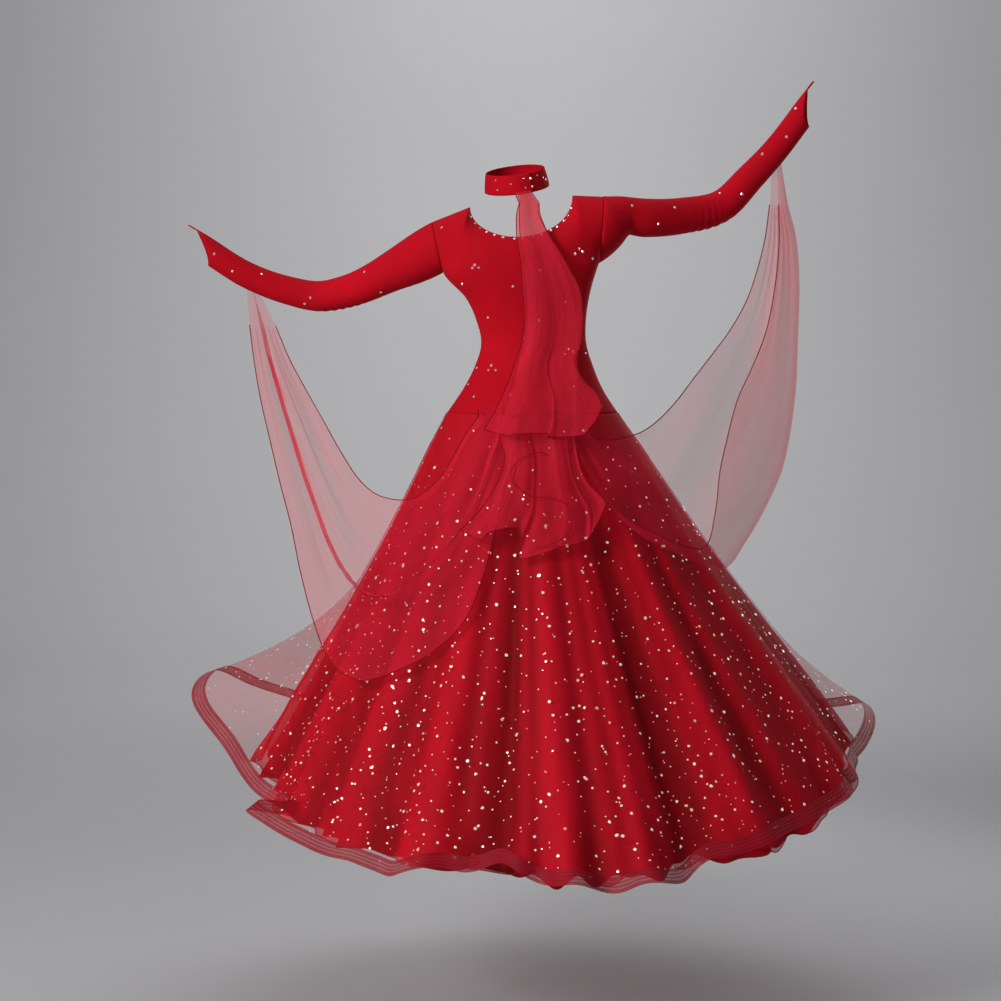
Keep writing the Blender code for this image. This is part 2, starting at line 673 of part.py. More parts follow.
def axis_at(drop):
    """Centre of the skirt's level section at a drop below the hip seam."""
    centre = torso_at(np.array(SEAM_HEIGHT))[0]
    share = drop / FULL_DROP
    return centre + (HEM_AXIS[0] - centre) * share, HEM_AXIS[1] * share


def seam_reach(direction):
    """Distance from the centre of the hip seam to the cloth, by direction."""
    _, half, back, front = torso_at(np.array(SEAM_HEIGHT))
    angle = np.radians(direction)
    deep = np.where(np.cos(angle) > 0, back, front)
    return 1 / np.sqrt((np.sin(angle) / half) ** 2 + (np.cos(angle) / deep) ** 2)


def underskirt_reach(direction, drop):
    """Distance of the underskirt from the skirt's axis, before folds."""
    reach, full = by_direction(UNDERSKIRT_HEM, direction)
    start = seam_reach(direction)
    return start + (reach - start) * (drop / full) ** UNDERSKIRT_FLARE


def outer_lift(direction, drop):
    """How far the outer skirt stands out from the underskirt."""
    reach, full = by_direction(OUTER_HEM, direction)
    at_hem = np.maximum(reach - underskirt_reach(direction, full), LEAST_LIFT)
    power = np.minimum(LIFT_POWER + LIFT_POWER_BY_SIZE * at_hem, MOST_LIFT_POWER)
    return at_hem * (drop / full) ** power


def layer_reach(layer, direction, drop):
    """Distance of a skirt layer's outer face from the axis, folds included."""
    folds = fold_field(direction) * (drop / FULL_DROP) ** FOLD_GROWTH
    base = underskirt_reach(direction, drop) + folds * FOLD_SHARE[layer]
    if layer == "underskirt":
        return base
    lift = outer_lift(direction, drop)
    step = LAYER_STEP + LAYER_ROOM * np.clip(drop / LAYER_ROOM_DROP, 0, 1)
    if layer == "middle_skirt":
        return base + step + np.minimum(MIDDLE_SHARE * lift, MIDDLE_MOST)
    return base + 2 * step + lift


def layer_drop(layer, direction):
    """How far below the hip seam a layer's hem lies, by direction."""
    if layer == "outer_skirt":
        return by_direction(OUTER_HEM, direction)[1]
    under = by_direction(UNDERSKIRT_HEM, direction)[1]
    if layer == "underskirt":
        return under
    wave = MIDDLE_WAVE * np.cos(np.radians(direction) * MIDDLE_WAVES)
    return under - MIDDLE_SHORTER + wave


def skirt_points(layer, direction, drop):
    """Points of a layer in space."""
    reach = layer_reach(layer, direction, drop)
    cx, cy = axis_at(drop)
    angle = np.radians(direction)
    height = SEAM_HEIGHT - SEAM_GAP - drop
    return np.stack([cx + reach * np.sin(angle), cy - reach * np.cos(angle), height], axis=-1)


def skirt_directions(face):
    """The column directions of a half skirt, side seam to side seam."""
    middle = 0.0 if face == BACK else 180.0
    return middle + np.linspace(-90, 90, HALF_SKIRT_STEPS + 1)


def skirt_grid(layer, face):
    """One half of a layer: rows from the hip seam to the hem."""
    direction = skirt_directions(face)
    hem = layer_drop(layer, direction)
    shares = np.array(SKIRT_ROWS)
    if layer == "outer_skirt":
        shares = np.sort(np.append(shares, (LIFT_ROW, 1.0 - BRAID_WIDE / FULL_DROP)))
    grid = skirt_points(layer, *np.broadcast_arrays(direction[None, :], shares[:, None] * hem[None, :]))
    grid[..., 1] += face * SIDE_SEAM_HALF_GAP
    return grid


def skirt_half(layer, face, colour):
    """One half of a skirt layer; at the side seams its wall is square to the seam plane."""
    grid = skirt_grid(layer, face)
    normals = grid_normals(grid, -1)
    normals[:, [0, -1], 1] = 0.0
    normals[0, :, 2] = 0.0
    normals = unit(normals)
    where = "back" if face == BACK else "front"
    cloth_wall(f"{layer}_{where}", grid, SHEER, colour, side=-1, normals=normals)
    if layer == "outer_skirt":
        band = grid[-2:] + normals[-2:] * (BRAID_OFF + SHEER)
        cloth_wall(f"hem_braid_{where}", band, SHEER, "braid", side=-1, normals=normals[-2:])


def clear_of_dress(points, off, where=True):
    """The same points, those nearer to the dress than `off` moved straight out to that distance."""
    x, y, z = np.moveaxis(points, -1, 0)
    drop = np.maximum(SEAM_HEIGHT - z, 0.0)
    above = z > SEAM_HEIGHT
    centre, half = torso_at(np.clip(z, SEAM_HEIGHT, TOP_HEIGHT))[:2]
    cx, cy = axis_at(drop)
    cx = np.where(above, centre, cx)
    away = np.hypot(x - cx, y - cy)
    angle = np.arctan2(x - cx, cy - y)
    need = off + np.max(
        [layer_reach("outer_skirt", np.degrees(angle) + turn, drop) for turn in WINDOW_DEGREES], axis=0
    )
    grow = np.where(where & ~above, np.maximum(need / away, 1.0), 1.0)
    x, y = cx + (x - cx) * grow, cy + (y - cy) * grow
    u = np.arcsin(np.clip((x - cx) / half, -1, 1)) * 2 / math.pi
    behind = panel_depth(BACK, u, np.maximum(z, SEAM_HEIGHT)) + off
    y = np.where(where & above & (np.abs(x - cx) < half), np.minimum(y, -behind), y)
    return np.stack([x, y, z], axis=-1)


def sleeve_seat(side, first, last, count):
    """Points just under a sleeve's lowest line, between two values of x."""
    grid = sleeve_grid(side)
    line = grid[:, ARMHOLE_STEPS]
    out = unit(line - grid.mean(axis=1))
    order = np.argsort(line[:, 0])
    want = np.linspace(first, last, count)
    spot = np.stack([np.interp(want, line[order, 0], line[order, k]) for k in range(3)], axis=-1)
    way = np.stack([np.interp(want, line[order, 0], out[order, k]) for k in range(3)], axis=-1)
    return spot + way * SEAT_GAP, way


def bodice_seat(first, last, count, row, off):
    """Points off the bodice's back near the hip seam, between two values of x, and its normals."""
    grid = bodice_grid(BACK)
    normals = grid_normals(grid, -BACK)
    line = grid[0] * (1 - row) + grid[1] * row
    facing = unit(normals[0] * (1 - row) + normals[1] * row)
    want = np.linspace(first, last, count)
    spot = np.stack([np.interp(want, line[:, 0], line[:, k]) for k in range(3)], axis=-1)
    way = unit(np.stack([np.interp(want, line[:, 0], facing[:, k]) for k in range(3)], axis=-1))
    return spot + way * (off + SHEER), way


def wing_rows(side):
    """Rows of points across a wing, from its sleeve to the hip seam, before the seats."""
    stations = numbers(LEFT_WING if side == LEFT else RIGHT_WING)
    knots = np.linspace(0, 1, len(stations))
    rows = flowing(np.linspace(0, 1, WING_STATIONS), knots, stations)
    across = np.linspace(0, 1, WING_ACROSS[side] + 1)
    upper, lower = rows[:, None, 0:3], rows[:, None, 3:6]
    sheet = upper + (lower - upper) * across[None, :, None]
    run = np.linspace(0, 1, WING_STATIONS)[:, None]
    wave = np.sin(2 * math.pi * (WING_WAVES[side] * across[None, :] - WING_DRIFT * run))
    swell = WING_WAVE[side] * np.sin(math.pi * run) * np.sin(math.pi * across)[None, :]
    sheet[..., 1] += wave * swell
    if side == LEFT:
        return sheet
    folded = rows[:, None, 6:9]
    bend = unit(rows[:, None, 3:6] - folded)
    turns = []
    for angle in np.linspace(0, math.pi, FOLD_BACK_TURNS + 2)[1:-1]:
        lift = BACKWARD * FOLD_BACK_RADIUS * (1 - math.cos(angle))
        turns.append(lower + bend * FOLD_BACK_RADIUS * math.sin(angle) + lift)
    steps = np.linspace(0, 1, FOLD_BACK_STEPS + 1)[None, :, None]
    flap = lower + BACKWARD * 2 * FOLD_BACK_RADIUS + (folded - lower) * steps
    return np.concatenate([sheet, *turns, flap], axis=1)


def wing(side):
    """One sheer wing, seated under its sleeve at one end and on the hip seam at the other."""
    rows = clear_of_dress(wing_rows(side), WING_CLEARANCE)
    count = rows.shape[1]
    flat = WING_ACROSS[side] + 1
    top, under = sleeve_seat(side, *WING_SLEEVE_SEAT[side], flat)
    bend, bend_out = bodice_seat(*WING_BACK_SEAT[side], flat, WING_BEND_ROW, WING_BEND_OFF)
    end, end_out = bodice_seat(*WING_BACK_SEAT[side], flat, WING_BACK_ROW, SEAT_GAP)
    if side == RIGHT:
        lift = np.linspace(0, 1, count - flat)[:, None]
        under_flap = under[-1] * FLAP_DROP + (top[0] - top[-1]) * lift * FLAP_ALONG_SLEEVE
        behind = BACKWARD * (FLAP_AT_SLEEVE + FLAP_SPREAD * lift)
        top = np.concatenate([top, top[-1] + under_flap + behind])
        aside = (end[0] - end[-1]) * lift * FLAP_ALONG_HIP
        end, bend = (np.concatenate([row, row[-1] + aside + BACKWARD * FLAP_AT_HIP]) for row in (end, bend))
        repeat = [len(end_out) - 1] * len(lift)
        end_out, bend_out = (np.concatenate([way, way[repeat]]) for way in (end_out, bend_out))
    top[:, 1] -= SHEER / 2
    grid = np.concatenate([top[None], rows, bend[None], end[None]])
    normals = grid_normals(grid, -side)
    normals[0] = BACKWARD
    normals[-2] = bend_out
    normals[-1] = end_out
    name = "wing_left" if side == LEFT else "wing_right"
    cloth_wall(name, grid, SHEER, "organza", side=-side, normals=normals)


def neck_float(name, rows):
    """One float: gathered at the collar, then hanging in folds over the back."""
    drop = np.linspace(0, 1, len(rows))
    across = np.linspace(0, 1, FLOAT_ACROSS + 1)
    height, left, right, depth, off, fold = numbers(rows).T[:, :, None]
    x = left + (right - left) * across
    wave = (1 - np.cos(2 * math.pi * FLOAT_FOLDS * across[None, :])) / 2
    hem_wave = np.cos(2 * math.pi * FLOAT_HEM_WAVES * across[None, :])
    z = height + FLOAT_HEM_WAVE * hem_wave * drop[:, None] ** FLOAT_HEM_SHARPNESS
    y = depth - fold * wave
    hanging = np.stack(np.broadcast_arrays(x, y, z), axis=-1)
    grid = clear_of_dress(hanging, off + fold * wave, where=off > 0)
    top = collar_edge(name)
    grid = np.concatenate([top[0], grid])
    normals = grid_normals(grid, -1)
    normals[: len(top[0])] = top[1]
    cloth_wall(name, grid, SHEER, "organza", side=-1, normals=normals)


def collar_edge(name):
    """The gathered top rows of a float: under the collar's foot, or laid over its outer face."""
    grid, way = collar_grid()
    facing = grid_normals(grid, -1)
    late = way > COLLAR_LAST_STRETCH
    want = 360 + np.linspace(*FLOAT_TOP[name], FLOAT_ACROSS + 1)
    foot, middle, out = (
        np.stack([np.interp(want, way[late], part[late, k]) for k in range(3)], axis=-1)
        for part in (grid[-1], grid[-2], facing[-1])
    )
    out = unit(out)
    down = unit(foot - middle)
    if name == "neck_float_long":
        start = foot - out * (COLLAR_WALL - SHEER) / 2 + down * SEAT_GAP
        return start[None], out[None]
    laid = foot + out * (SEAT_GAP + SHEER) - down * FLOAT_LAP
    below = foot + out * (FLOAT_BEND_OFF + SHEER) + down * FLOAT_BEND
    return np.stack([laid, below]), np.stack([out, out])


def main():
    """Builds every piece."""
    for old in list(bpy.data.objects):
        bpy.data.objects.remove(old)
    for face in (BACK, FRONT):
        bodice(face)
        skirt_half("underskirt", face, "satin")
        skirt_half("middle_skirt", face, "organza")
        skirt_half("outer_skirt", face, "tulle")
    for side in (LEFT, RIGHT):
        sleeve(side)
        finger_loop(side)
        wing(side)
    collar()
    neck_float("neck_float_long", LONG_FLOAT)
    neck_float("neck_float_short", SHORT_FLOAT)


main()
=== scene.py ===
"""Looks of a worn ballroom dance dress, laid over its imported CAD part.

Every cloth is a grid of points worked out from the dress's own sizes, in metres. The back faces -Y,
+X is the dress's right side, +Z is up, and the origin is the middle of the neckline opening.
Directions round the skirt are in degrees from the middle of the back, positive towards +X.
"""

from __future__ import annotations

import logging
import math
from dataclasses import dataclass, field
from enum import Enum
from typing import Any, Sequence

import bpy
import numpy as np
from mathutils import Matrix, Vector

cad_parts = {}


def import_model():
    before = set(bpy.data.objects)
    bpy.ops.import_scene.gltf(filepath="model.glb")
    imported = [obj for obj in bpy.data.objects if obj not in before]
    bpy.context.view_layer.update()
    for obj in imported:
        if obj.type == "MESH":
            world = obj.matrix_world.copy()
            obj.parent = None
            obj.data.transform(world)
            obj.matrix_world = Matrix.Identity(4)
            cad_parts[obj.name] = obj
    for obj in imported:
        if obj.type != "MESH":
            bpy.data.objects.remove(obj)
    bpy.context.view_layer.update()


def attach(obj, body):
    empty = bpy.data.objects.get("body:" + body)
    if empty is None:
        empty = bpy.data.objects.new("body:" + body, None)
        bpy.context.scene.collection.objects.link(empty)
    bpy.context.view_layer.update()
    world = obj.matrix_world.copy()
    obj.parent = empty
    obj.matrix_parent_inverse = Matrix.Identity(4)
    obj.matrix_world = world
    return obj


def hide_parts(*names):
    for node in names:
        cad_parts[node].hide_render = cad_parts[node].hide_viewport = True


LOG = logging.getLogger("dress")
BODY = "root"
BACKWARD = np.array([0.0, -1.0, 0.0])
# a way that no cord of the dress runs along
ASLANT = np.array([0.31, 0.17, 0.93])
SEED = 11
Array = np.ndarray
Table = np.recarray
Pair = tuple[float, float]
Triple = tuple[float, float, float]
Material = bpy.types.Material
Object = bpy.types.Object
Socket = bpy.types.NodeSocket
Pieces = list[Object]


def table(columns: str, *rows: tuple[float, ...]) -> Table:
    """Rows of numbers under named columns.

    Args:
        columns: The names of the columns, with commas between.
        *rows: One tuple of numbers for each row.

    Returns:
        The rows, whose columns are read by name.
    """
    return np.rec.fromrecords(rows, names=columns)


def kept(value: Any) -> Any:
    """A field that starts as a value which nothing changes, such as a table."""
    return field(default_factory=lambda: value)


def numbers(rows: Table) -> Array:
    """A table's rows as a plain array."""
    return np.array(rows.tolist(), float)


class Side(Enum):
    """The side of a paired piece, by the sign of its x."""

    LEFT = -1
    RIGHT = 1


class Face(Enum):
    """The half of the dress, by the sign of its y."""

    BACK = -1
    FRONT = 1


class Layer(Enum):
    """The skirt's three layers, and how much of the folds each takes."""

    UNDERSKIRT = 1.0
    MIDDLE = 0.92
    OUTER = 0.85


def flowing(
    at: Array, knots: Sequence[float], values: Array, period: float | None = None
) -> Array:
    """Cubic curve through points: h00*p0 + h10*m0 + h01*p1 + h11*m1 between each pair.

    Args:
        at: The positions at which the curve is read.
        knots: The positions of the points, rising.
        values: The points, one row for each knot.
        period: The length of one turn, for a curve that closes on itself.

    Returns:
        The values at the positions asked for.
    """
    knots = np.asarray(knots, float)
    values = np.asarray(values, float)
    at = np.asarray(at, float)
    if period:
        knots = np.concatenate([knots - period, knots, knots + period])
        values = np.concatenate([values, values, values])
        at = (at - knots[0]) % period + knots[0] + period
    slope = np.gradient(values, knots, axis=0)
    i = np.clip(np.searchsorted(knots, at, side="right") - 1, 0, len(knots) - 2)
    step = knots[i + 1] - knots[i]
    h = np.clip((at - knots[i]) / step, 0.0, 1.0)
    if values.ndim > 1:
        h = h[..., None]
        step = step[..., None]
    return (
        (1 + 2 * h) * (1 - h) ** 2 * values[i]
        + h * (1 - h) ** 2 * step * slope[i]
        + h**2 * (3 - 2 * h) * values[i + 1]
        - h**2 * (1 - h) * step * slope[i + 1]
    )


def along_line(at: Array, knots: Array, points: Array) -> Array:
    """Straight lines between points, read at positions along them."""
    return np.stack([np.interp(at, knots, points[:, k]) for k in range(3)], axis=-1)


def smooth_step(value: Array | float) -> Array:
    """0 below 0, 1 above 1, and 3t^2 - 2t^3 between."""
    value = np.clip(value, 0.0, 1.0)
    return value * value * (3.0 - 2.0 * value)


def bell(value: Array, middle: float, spread: float) -> Array:
    """A bell curve, exp(-((value - middle)/spread)^2)."""
    return np.exp(-(((value - middle) / spread) ** 2))


def unit(vectors: Array) -> Array:
    """The same vectors at length one."""
    size = np.linalg.norm(vectors, axis=-1, keepdims=True)
    return vectors / np.maximum(size, 1e-12)


def grid_normals(grid: Array, side: int, closed: bool = False) -> Array:
    """Normals of a grid: the cross product of its column and row directions.

    Args:
        grid: Points in rows and columns.
        side: 1 or -1, for the side of the grid that counts as outside.
        closed: Whether the last column meets the first.

    Returns:
        One unit normal for each point.
    """
    down = np.gradient(grid, axis=0)
    if closed:
        across = (np.roll(grid, -1, axis=1) - np.roll(grid, 1, axis=1)) / 2
    else:
        across = np.gradient(grid, axis=1)
    return side * unit(np.cross(across, down))


def running(grid: Array, axis: int) -> Array:
    """Length along each row or column of a grid from its start, the running sum of its steps.

    Args:
        grid: Points in rows and columns.
        axis: 0 to go down the columns, 1 to go along the rows.

    Returns:
        The length at each point, in metres.
    """
    step = np.linalg.norm(np.diff(grid, axis=axis), axis=-1)
    start = np.zeros_like(np.take(step, [0], axis=axis))
    return np.cumsum(np.concatenate([start, step], axis=axis), axis=axis)


def grid_faces(rows: int, columns: int, closed: bool = False, ring: bool = False) -> tuple[Array, ...]:
    """Four-sided faces between the points of a grid, with its points numbered row by row.

    Args:
        rows: The number of rows.
        columns: The number of columns.
        closed: Whether the last column meets the first.
        ring: Whether the last row meets the first.

    Returns:
        Each face's row, its column and the numbers of its corners.
    """
    i, j = np.meshgrid(np.arange(rows - 1 + ring), np.arange(columns - 1 + closed), indexing="ij")
    below, after = (i + 1) % rows * columns, (j + 1) % columns
    return i, j, np.stack([i * columns + j, i * columns + after, below + after, below + j], -1)


def grid_mesh(
    name: str, grid: Array, side: int = 1, closed: bool = False, ring: bool = False, capped: bool = False
) -> Object:
    """A surface of four-sided faces over a grid of points, with its UV map in metres of cloth.

    Args:
        name: The piece's name.
        grid: Points in rows and columns.
        side: 1 or -1, for the way its faces look.
        closed: Whether the last column meets the first.
        ring: Whether the last row meets the first.
        capped: Whether the first and last rows are filled with a face.

    Returns:
        The new object, at the origin.
    """
    rows, columns = grid.shape[:2]
    i, j, faces = grid_faces(rows, columns, closed, ring)
    below, after = (i + 1) % rows, (j + 1) % columns
    wide = running(np.concatenate([grid, grid[:, :1]], axis=1), 1)
    wide -= wide[:, [columns // 2]]
    long = running(np.concatenate([grid, grid[:1]], axis=0), 0)
    u = np.stack([wide[i, j], wide[i, j + 1], wide[below, j + 1], wide[below, j]], -1)
    v = np.stack([long[i, j], long[i, after], long[i + 1, after], long[i + 1, j]], -1)
    last = range((rows - 1) * columns, rows * columns)
    ends = [tuple(range(columns))[::-1], tuple(last)] if capped else []
    if side < 0:
        faces, u, v = faces[..., ::-1], u[..., ::-1], v[..., ::-1]
        ends = [end[::-1] for end in ends]
    corners = np.stack([u, -v], -1).reshape(-1, 2)
    return raw_mesh(name, grid.reshape(-1, 3), faces.reshape(-1, 4), corners, ends)


def plain_mesh(name: str, points: Array, faces: Sequence[Sequence[int]], smooth: bool = True) -> Object:
    """A mesh object at the origin, on no body yet.

    Args:
        name: The object's name.
        points: One row of x, y, z for each vertex.
        faces: The vertex numbers of each face.
        smooth: Whether its faces are shaded as one curved surface.

    Returns:
        The new object.
    """
    mesh = bpy.data.meshes.new(name)
    mesh.from_pydata(points.tolist(), [], faces)
    if smooth:
        mesh.shade_smooth()
    made = bpy.data.objects.new(name, mesh)
    bpy.context.scene.collection.objects.link(made)
    return made


def raw_mesh(
    name: str, points: Array, faces: Array, uv: Array | None = None, ends: Sequence[tuple[int, ...]] = ()
) -> Object:
    """A smooth piece from arrays of points, faces and UV corners.

    Args:
        name: The piece's name.
        points: One row of x, y, z for each vertex.
        faces: One row of vertex numbers for each face, all with as many corners.
        uv: One row of u, v for each corner of each face.
        ends: Further faces, whose UV corners all lie at 0.

    Returns:
        The new object, riding on the dress's only body.
    """
    piece = plain_mesh(name, points, [*faces.tolist(), *ends])
    if uv is not None:
        spare = np.zeros((sum(len(end) for end in ends), 2))
        corners = np.concatenate([uv, spare]).astype(np.float32)
        piece.data.uv_layers.new(name="cloth").data.foreach_set("uv", corners.ravel())
    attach(piece, BODY)
    return piece


def smoothed(values: Array, window: int) -> Array:
    """Mean of each value and its neighbours along a row, the row's ends held.

    Args:
        values: Rows of numbers or of vectors.
        window: The number of neighbours on either side.

    Returns:
        One mean for each value.
    """
    pad = [(0, 0)] * values.ndim
    pad[1] = (window, window)
    wide = np.pad(values, pad, mode="edge")
    count = 2 * window + 1
    return sum(wide[:, k : k + values.shape[1]] for k in range(count)) / count


def bunching(grid: Array, window: int = 7, gain: float = 2.2) -> Array:
    """Where a cloth stands steep to its own smoothed surface: g*(1 - n.m), held between 0 and 1.

    Args:
        grid: The cloth's points.
        window: The number of columns on either side that are smoothed together.
        gain: How fast the number grows as the cloth turns away.

    Returns:
        One number for each point.
    """
    normals = grid_normals(grid, 1)
    mean = unit(smoothed(normals, window))
    return np.clip(gain * (1 - np.sum(normals * mean, axis=-1)), 0, 1)


def keep_number(piece: Object, name: str, values: Array) -> None:
    """Keeps one number for each vertex of a piece, for its material to read."""
    kept = piece.data.attributes.new(name, "FLOAT", "POINT")
    kept.data.foreach_set("value", values.astype(np.float32).ravel())


def round_turn(sides: int) -> Array:
    """The corners of a shape with equal sides, as angles."""
    return np.arange(sides) * 2 * math.pi / sides


def circle(turn: Array, first: Array, second: Array) -> Array:
    """Places at one metre from a middle, cos(turn)*first + sin(turn)*second."""
    return np.cos(turn)[..., None] * first + np.sin(turn)[..., None] * second


def tube(name: str, path: Array, radius: float, closed: bool = False, sides: int = 6) -> Object:
    """A round cord along a path: path + r*(cos(a)*n + sin(a)*b), with n and b square to the path.

    Args:
        name: The piece's name.
        path: Points along the middle of the cord.
        radius: Half the cord's thickness.
        closed: Whether the path returns to its start.
        sides: The number of faces round it.

    Returns:
        The cord, with an end face at each end of an open path.
    """
    if closed:
        along = unit(np.roll(path, -1, axis=0) - np.roll(path, 1, axis=0))
    else:
        along = unit(np.gradient(path, axis=0))
    flat = unit(np.cross(along, unit(ASLANT)))
    other = np.cross(along, flat)
    ring = path[:, None] + radius * circle(round_turn(sides), flat[:, None], other[:, None])
    return grid_mesh(name, ring, side=-1, closed=True, ring=closed, capped=not closed)


def thicken(piece: Object, wall: float) -> None:
    """Gives a cloth its thickness, inwards from its outer face.

    Args:
        piece: The cloth.
        wall: Its thickness.
    """
    solid = piece.modifiers.new("wall", "SOLIDIFY")
    solid.thickness = wall
    solid.offset = -1.0


def dress(piece: Object, material: Material) -> Object:
    """Puts a material on a piece and returns the piece."""
    piece.data.materials.append(material)
    return piece


class Value:
    """One output socket of a material's nodes, with arithmetic that adds Math nodes."""

    def __init__(self, tree: bpy.types.NodeTree, socket: Socket) -> None:
        """Wraps a socket of a node tree."""
        self.tree = tree
        self.socket = socket

    def math(self, operation: str, *others: Value | float, swap: bool = False) -> Value:
        """One Math node on this value.

        Args:
            operation: Blender's name of the operation.
            *others: The other operands.
            swap: Whether this value comes last.

        Returns:
            The node's result.
        """
        node = self.tree.nodes.new("ShaderNodeMath")
        node.operation = operation
        operands = [*others, self] if swap else [self, *others]
        for slot, item in zip(node.inputs, operands):
            if isinstance(item, Value):
                self.tree.links.new(item.socket, slot)
            else:
                slot.default_value = item
        return Value(self.tree, node.outputs[0])

    def __add__(self, other: Value | float) -> Value:
        """The sum."""
        return self.math("ADD", other)

    __radd__ = __add__

    def __sub__(self, other: Value | float) -> Value:
        """The difference."""
        return self.math("SUBTRACT", other)

    def __rsub__(self, other: Value | float) -> Value:
        """The difference, this value taken away."""
        return self.math("SUBTRACT", other, swap=True)

    def __mul__(self, other: Value | float) -> Value:
        """The product."""
        return self.math("MULTIPLY", other)

    __rmul__ = __mul__

    def waves(self, length: float) -> Value:
        """One wave for each length: sin(2*pi*value/length)."""
        return (self * (2 * math.pi / length)).math("SINE")

    def between(self, low: float, high: float) -> Value:
        """Held between two numbers."""
        return self.math("MAXIMUM", low).math("MINIMUM", high)


class Finish:
    """A Principled material that is being built, node by node."""

    def __init__(self, name: str, **fixed: Any) -> None:
        """Starts a material.

        Args:
            name: The material's name.
            **fixed: Values of the shader's own sockets, the spaces in their names as underscores.
        """
        self.material = bpy.data.materials.new(name)
        self.material.use_nodes = True
        self.tree = self.material.node_tree
        self.shader = self.tree.nodes["Principled BSDF"]
        for socket, value in fixed.items():
            self.shader.inputs[socket.replace("_", " ")].default_value = value
        self.uv = self.node("ShaderNodeUVMap", {"uv_map": "cloth"}).outputs[0]
        self.place = self.node("ShaderNodeTexCoord").outputs["Object"]

    def node(self, kind: str, settings: dict[str, Any] | None = None, **inputs: Any) -> bpy.types.Node:
        """One node, set and linked.

        Args:
            kind: The node's type.
            settings: Its properties, which are set first.
            **inputs: Values or links of its sockets, the spaces in their names as underscores.

        Returns:
            The node.
        """
        node = self.tree.nodes.new(kind)
        for key, value in (settings or {}).items():
            setattr(node, key, value)
        for key, value in inputs.items():
            self.feed(node.inputs[key.replace("_", " ")], value)
        return node

    def feed(self, slot: Socket, value: Any) -> None:
        """Links a value or a socket to a slot, or sets a number there.

        Args:
            slot: The slot that is fed.
            value: What feeds it.
        """
        if isinstance(value, Value):
            value = value.socket
        if isinstance(value, Socket):
            self.tree.links.new(value, slot)
        else:
            slot.default_value = value

    def axes(self, source: Socket) -> tuple[Value, Value, Value]:
        """The three parts of a vector socket."""
        split = self.node("ShaderNodeSeparateXYZ", Vector=source)
        return tuple(Value(self.tree, part) for part in split.outputs)

    def noise(self, source: Socket, stretch: Triple, detail: float) -> Value:
        """Soft noise from 0 to 1, read at coordinates times stretch.

        Args:
            source: The coordinates.
            stretch: Turns of the noise in each metre, along each axis.
            detail: How many finer noises are laid over the first.

        Returns:
            The noise.
        """
        mapped = self.node("ShaderNodeMapping", Vector=source, Scale=stretch)
        found = self.node("ShaderNodeTexNoise", Vector=mapped.outputs[0], Scale=1.0, Detail=detail)
        return Value(self.tree, found.outputs[0])

    def attribute(self, name: str) -> Value:
        """A number kept on the mesh's points."""
        return Value(self.tree, self.node("ShaderNodeAttribute", {"attribute_name": name}).outputs["Fac"])

    def blend(self, share: Value, first: Triple, second: Triple) -> Socket:
        """A colour between two colours, first*(1 - share) + second*share.

        Args:
            share: The share of the second colour.
            first: The colour at 0.
            second: The colour at 1.

        Returns:
            The mixed colour.
        """
        mix = self.node("ShaderNodeMix", {"data_type": "RGBA"})
        self.feed(mix.inputs[0], share)
        self.feed(mix.inputs[6], (*first, 1.0))
        self.feed(mix.inputs[7], (*second, 1.0))
        return mix.outputs[2]

    def colour(self, share: Value, first: Triple, second: Triple) -> None:
        """Colours the surface between two colours, by share."""
        self.set("Base Color", self.blend(share, first, second))

    def bump(self, height: Value, strength: float) -> None:
        """Makes the surface rise and fall by a height in metres."""
        node = self.node("ShaderNodeBump", Height=height, Strength=strength, Distance=1.0)
        self.set("Normal", node.outputs[0])

    def set(self, socket: str, value: Any) -> None:
        """Feeds one socket of the shader."""
        self.feed(self.shader.inputs[socket], value)


@dataclass(frozen=True)
class Jersey:
    """Matt stretch jersey, a fine rib of knit loops on a deep red."""

    name: str = "jersey"
    deep: Triple = (0.40, 0.0015, 0.0085)
    light: Triple = (0.50, 0.0025, 0.0120)
    loop: float = 0.0011
    loop_height: float = 0.00006
    patches: Triple = (9.0, 9.0, 6.0)
    pulls: Triple = (22.0, 5.0, 1.0)
    pull_height: float = 0.0016
    rough: float = 0.84

    def material(self) -> Material:
        """The knit: sin(u)*sin(v) loops, soft patches of shade and a velvety sheen.

        Returns:
            The material.
        """
        finish = Finish(
            self.name, Metallic=0.0, Specular_IOR_Level=0.08, Sheen_Weight=0.10, Sheen_Roughness=0.5,
            Sheen_Tint=(0.8, 0.02, 0.04, 1.0),
        )
        u, v, _ = finish.axes(finish.uv)
        knit = u.waves(self.loop) * v.waves(self.loop)
        patch = finish.noise(finish.place, self.patches, 3.0)
        pull = finish.noise(finish.uv, self.pulls, 2.0)
        shade = (patch * 1.6 - 0.3 + knit * 0.06).between(0.0, 1.0)
        finish.colour(shade, self.deep, self.light)
        finish.set("Roughness", self.rough + (patch - 0.5) * 0.12)
        finish.bump(knit * self.loop_height + pull * self.pull_height, 0.7)
        return finish.material


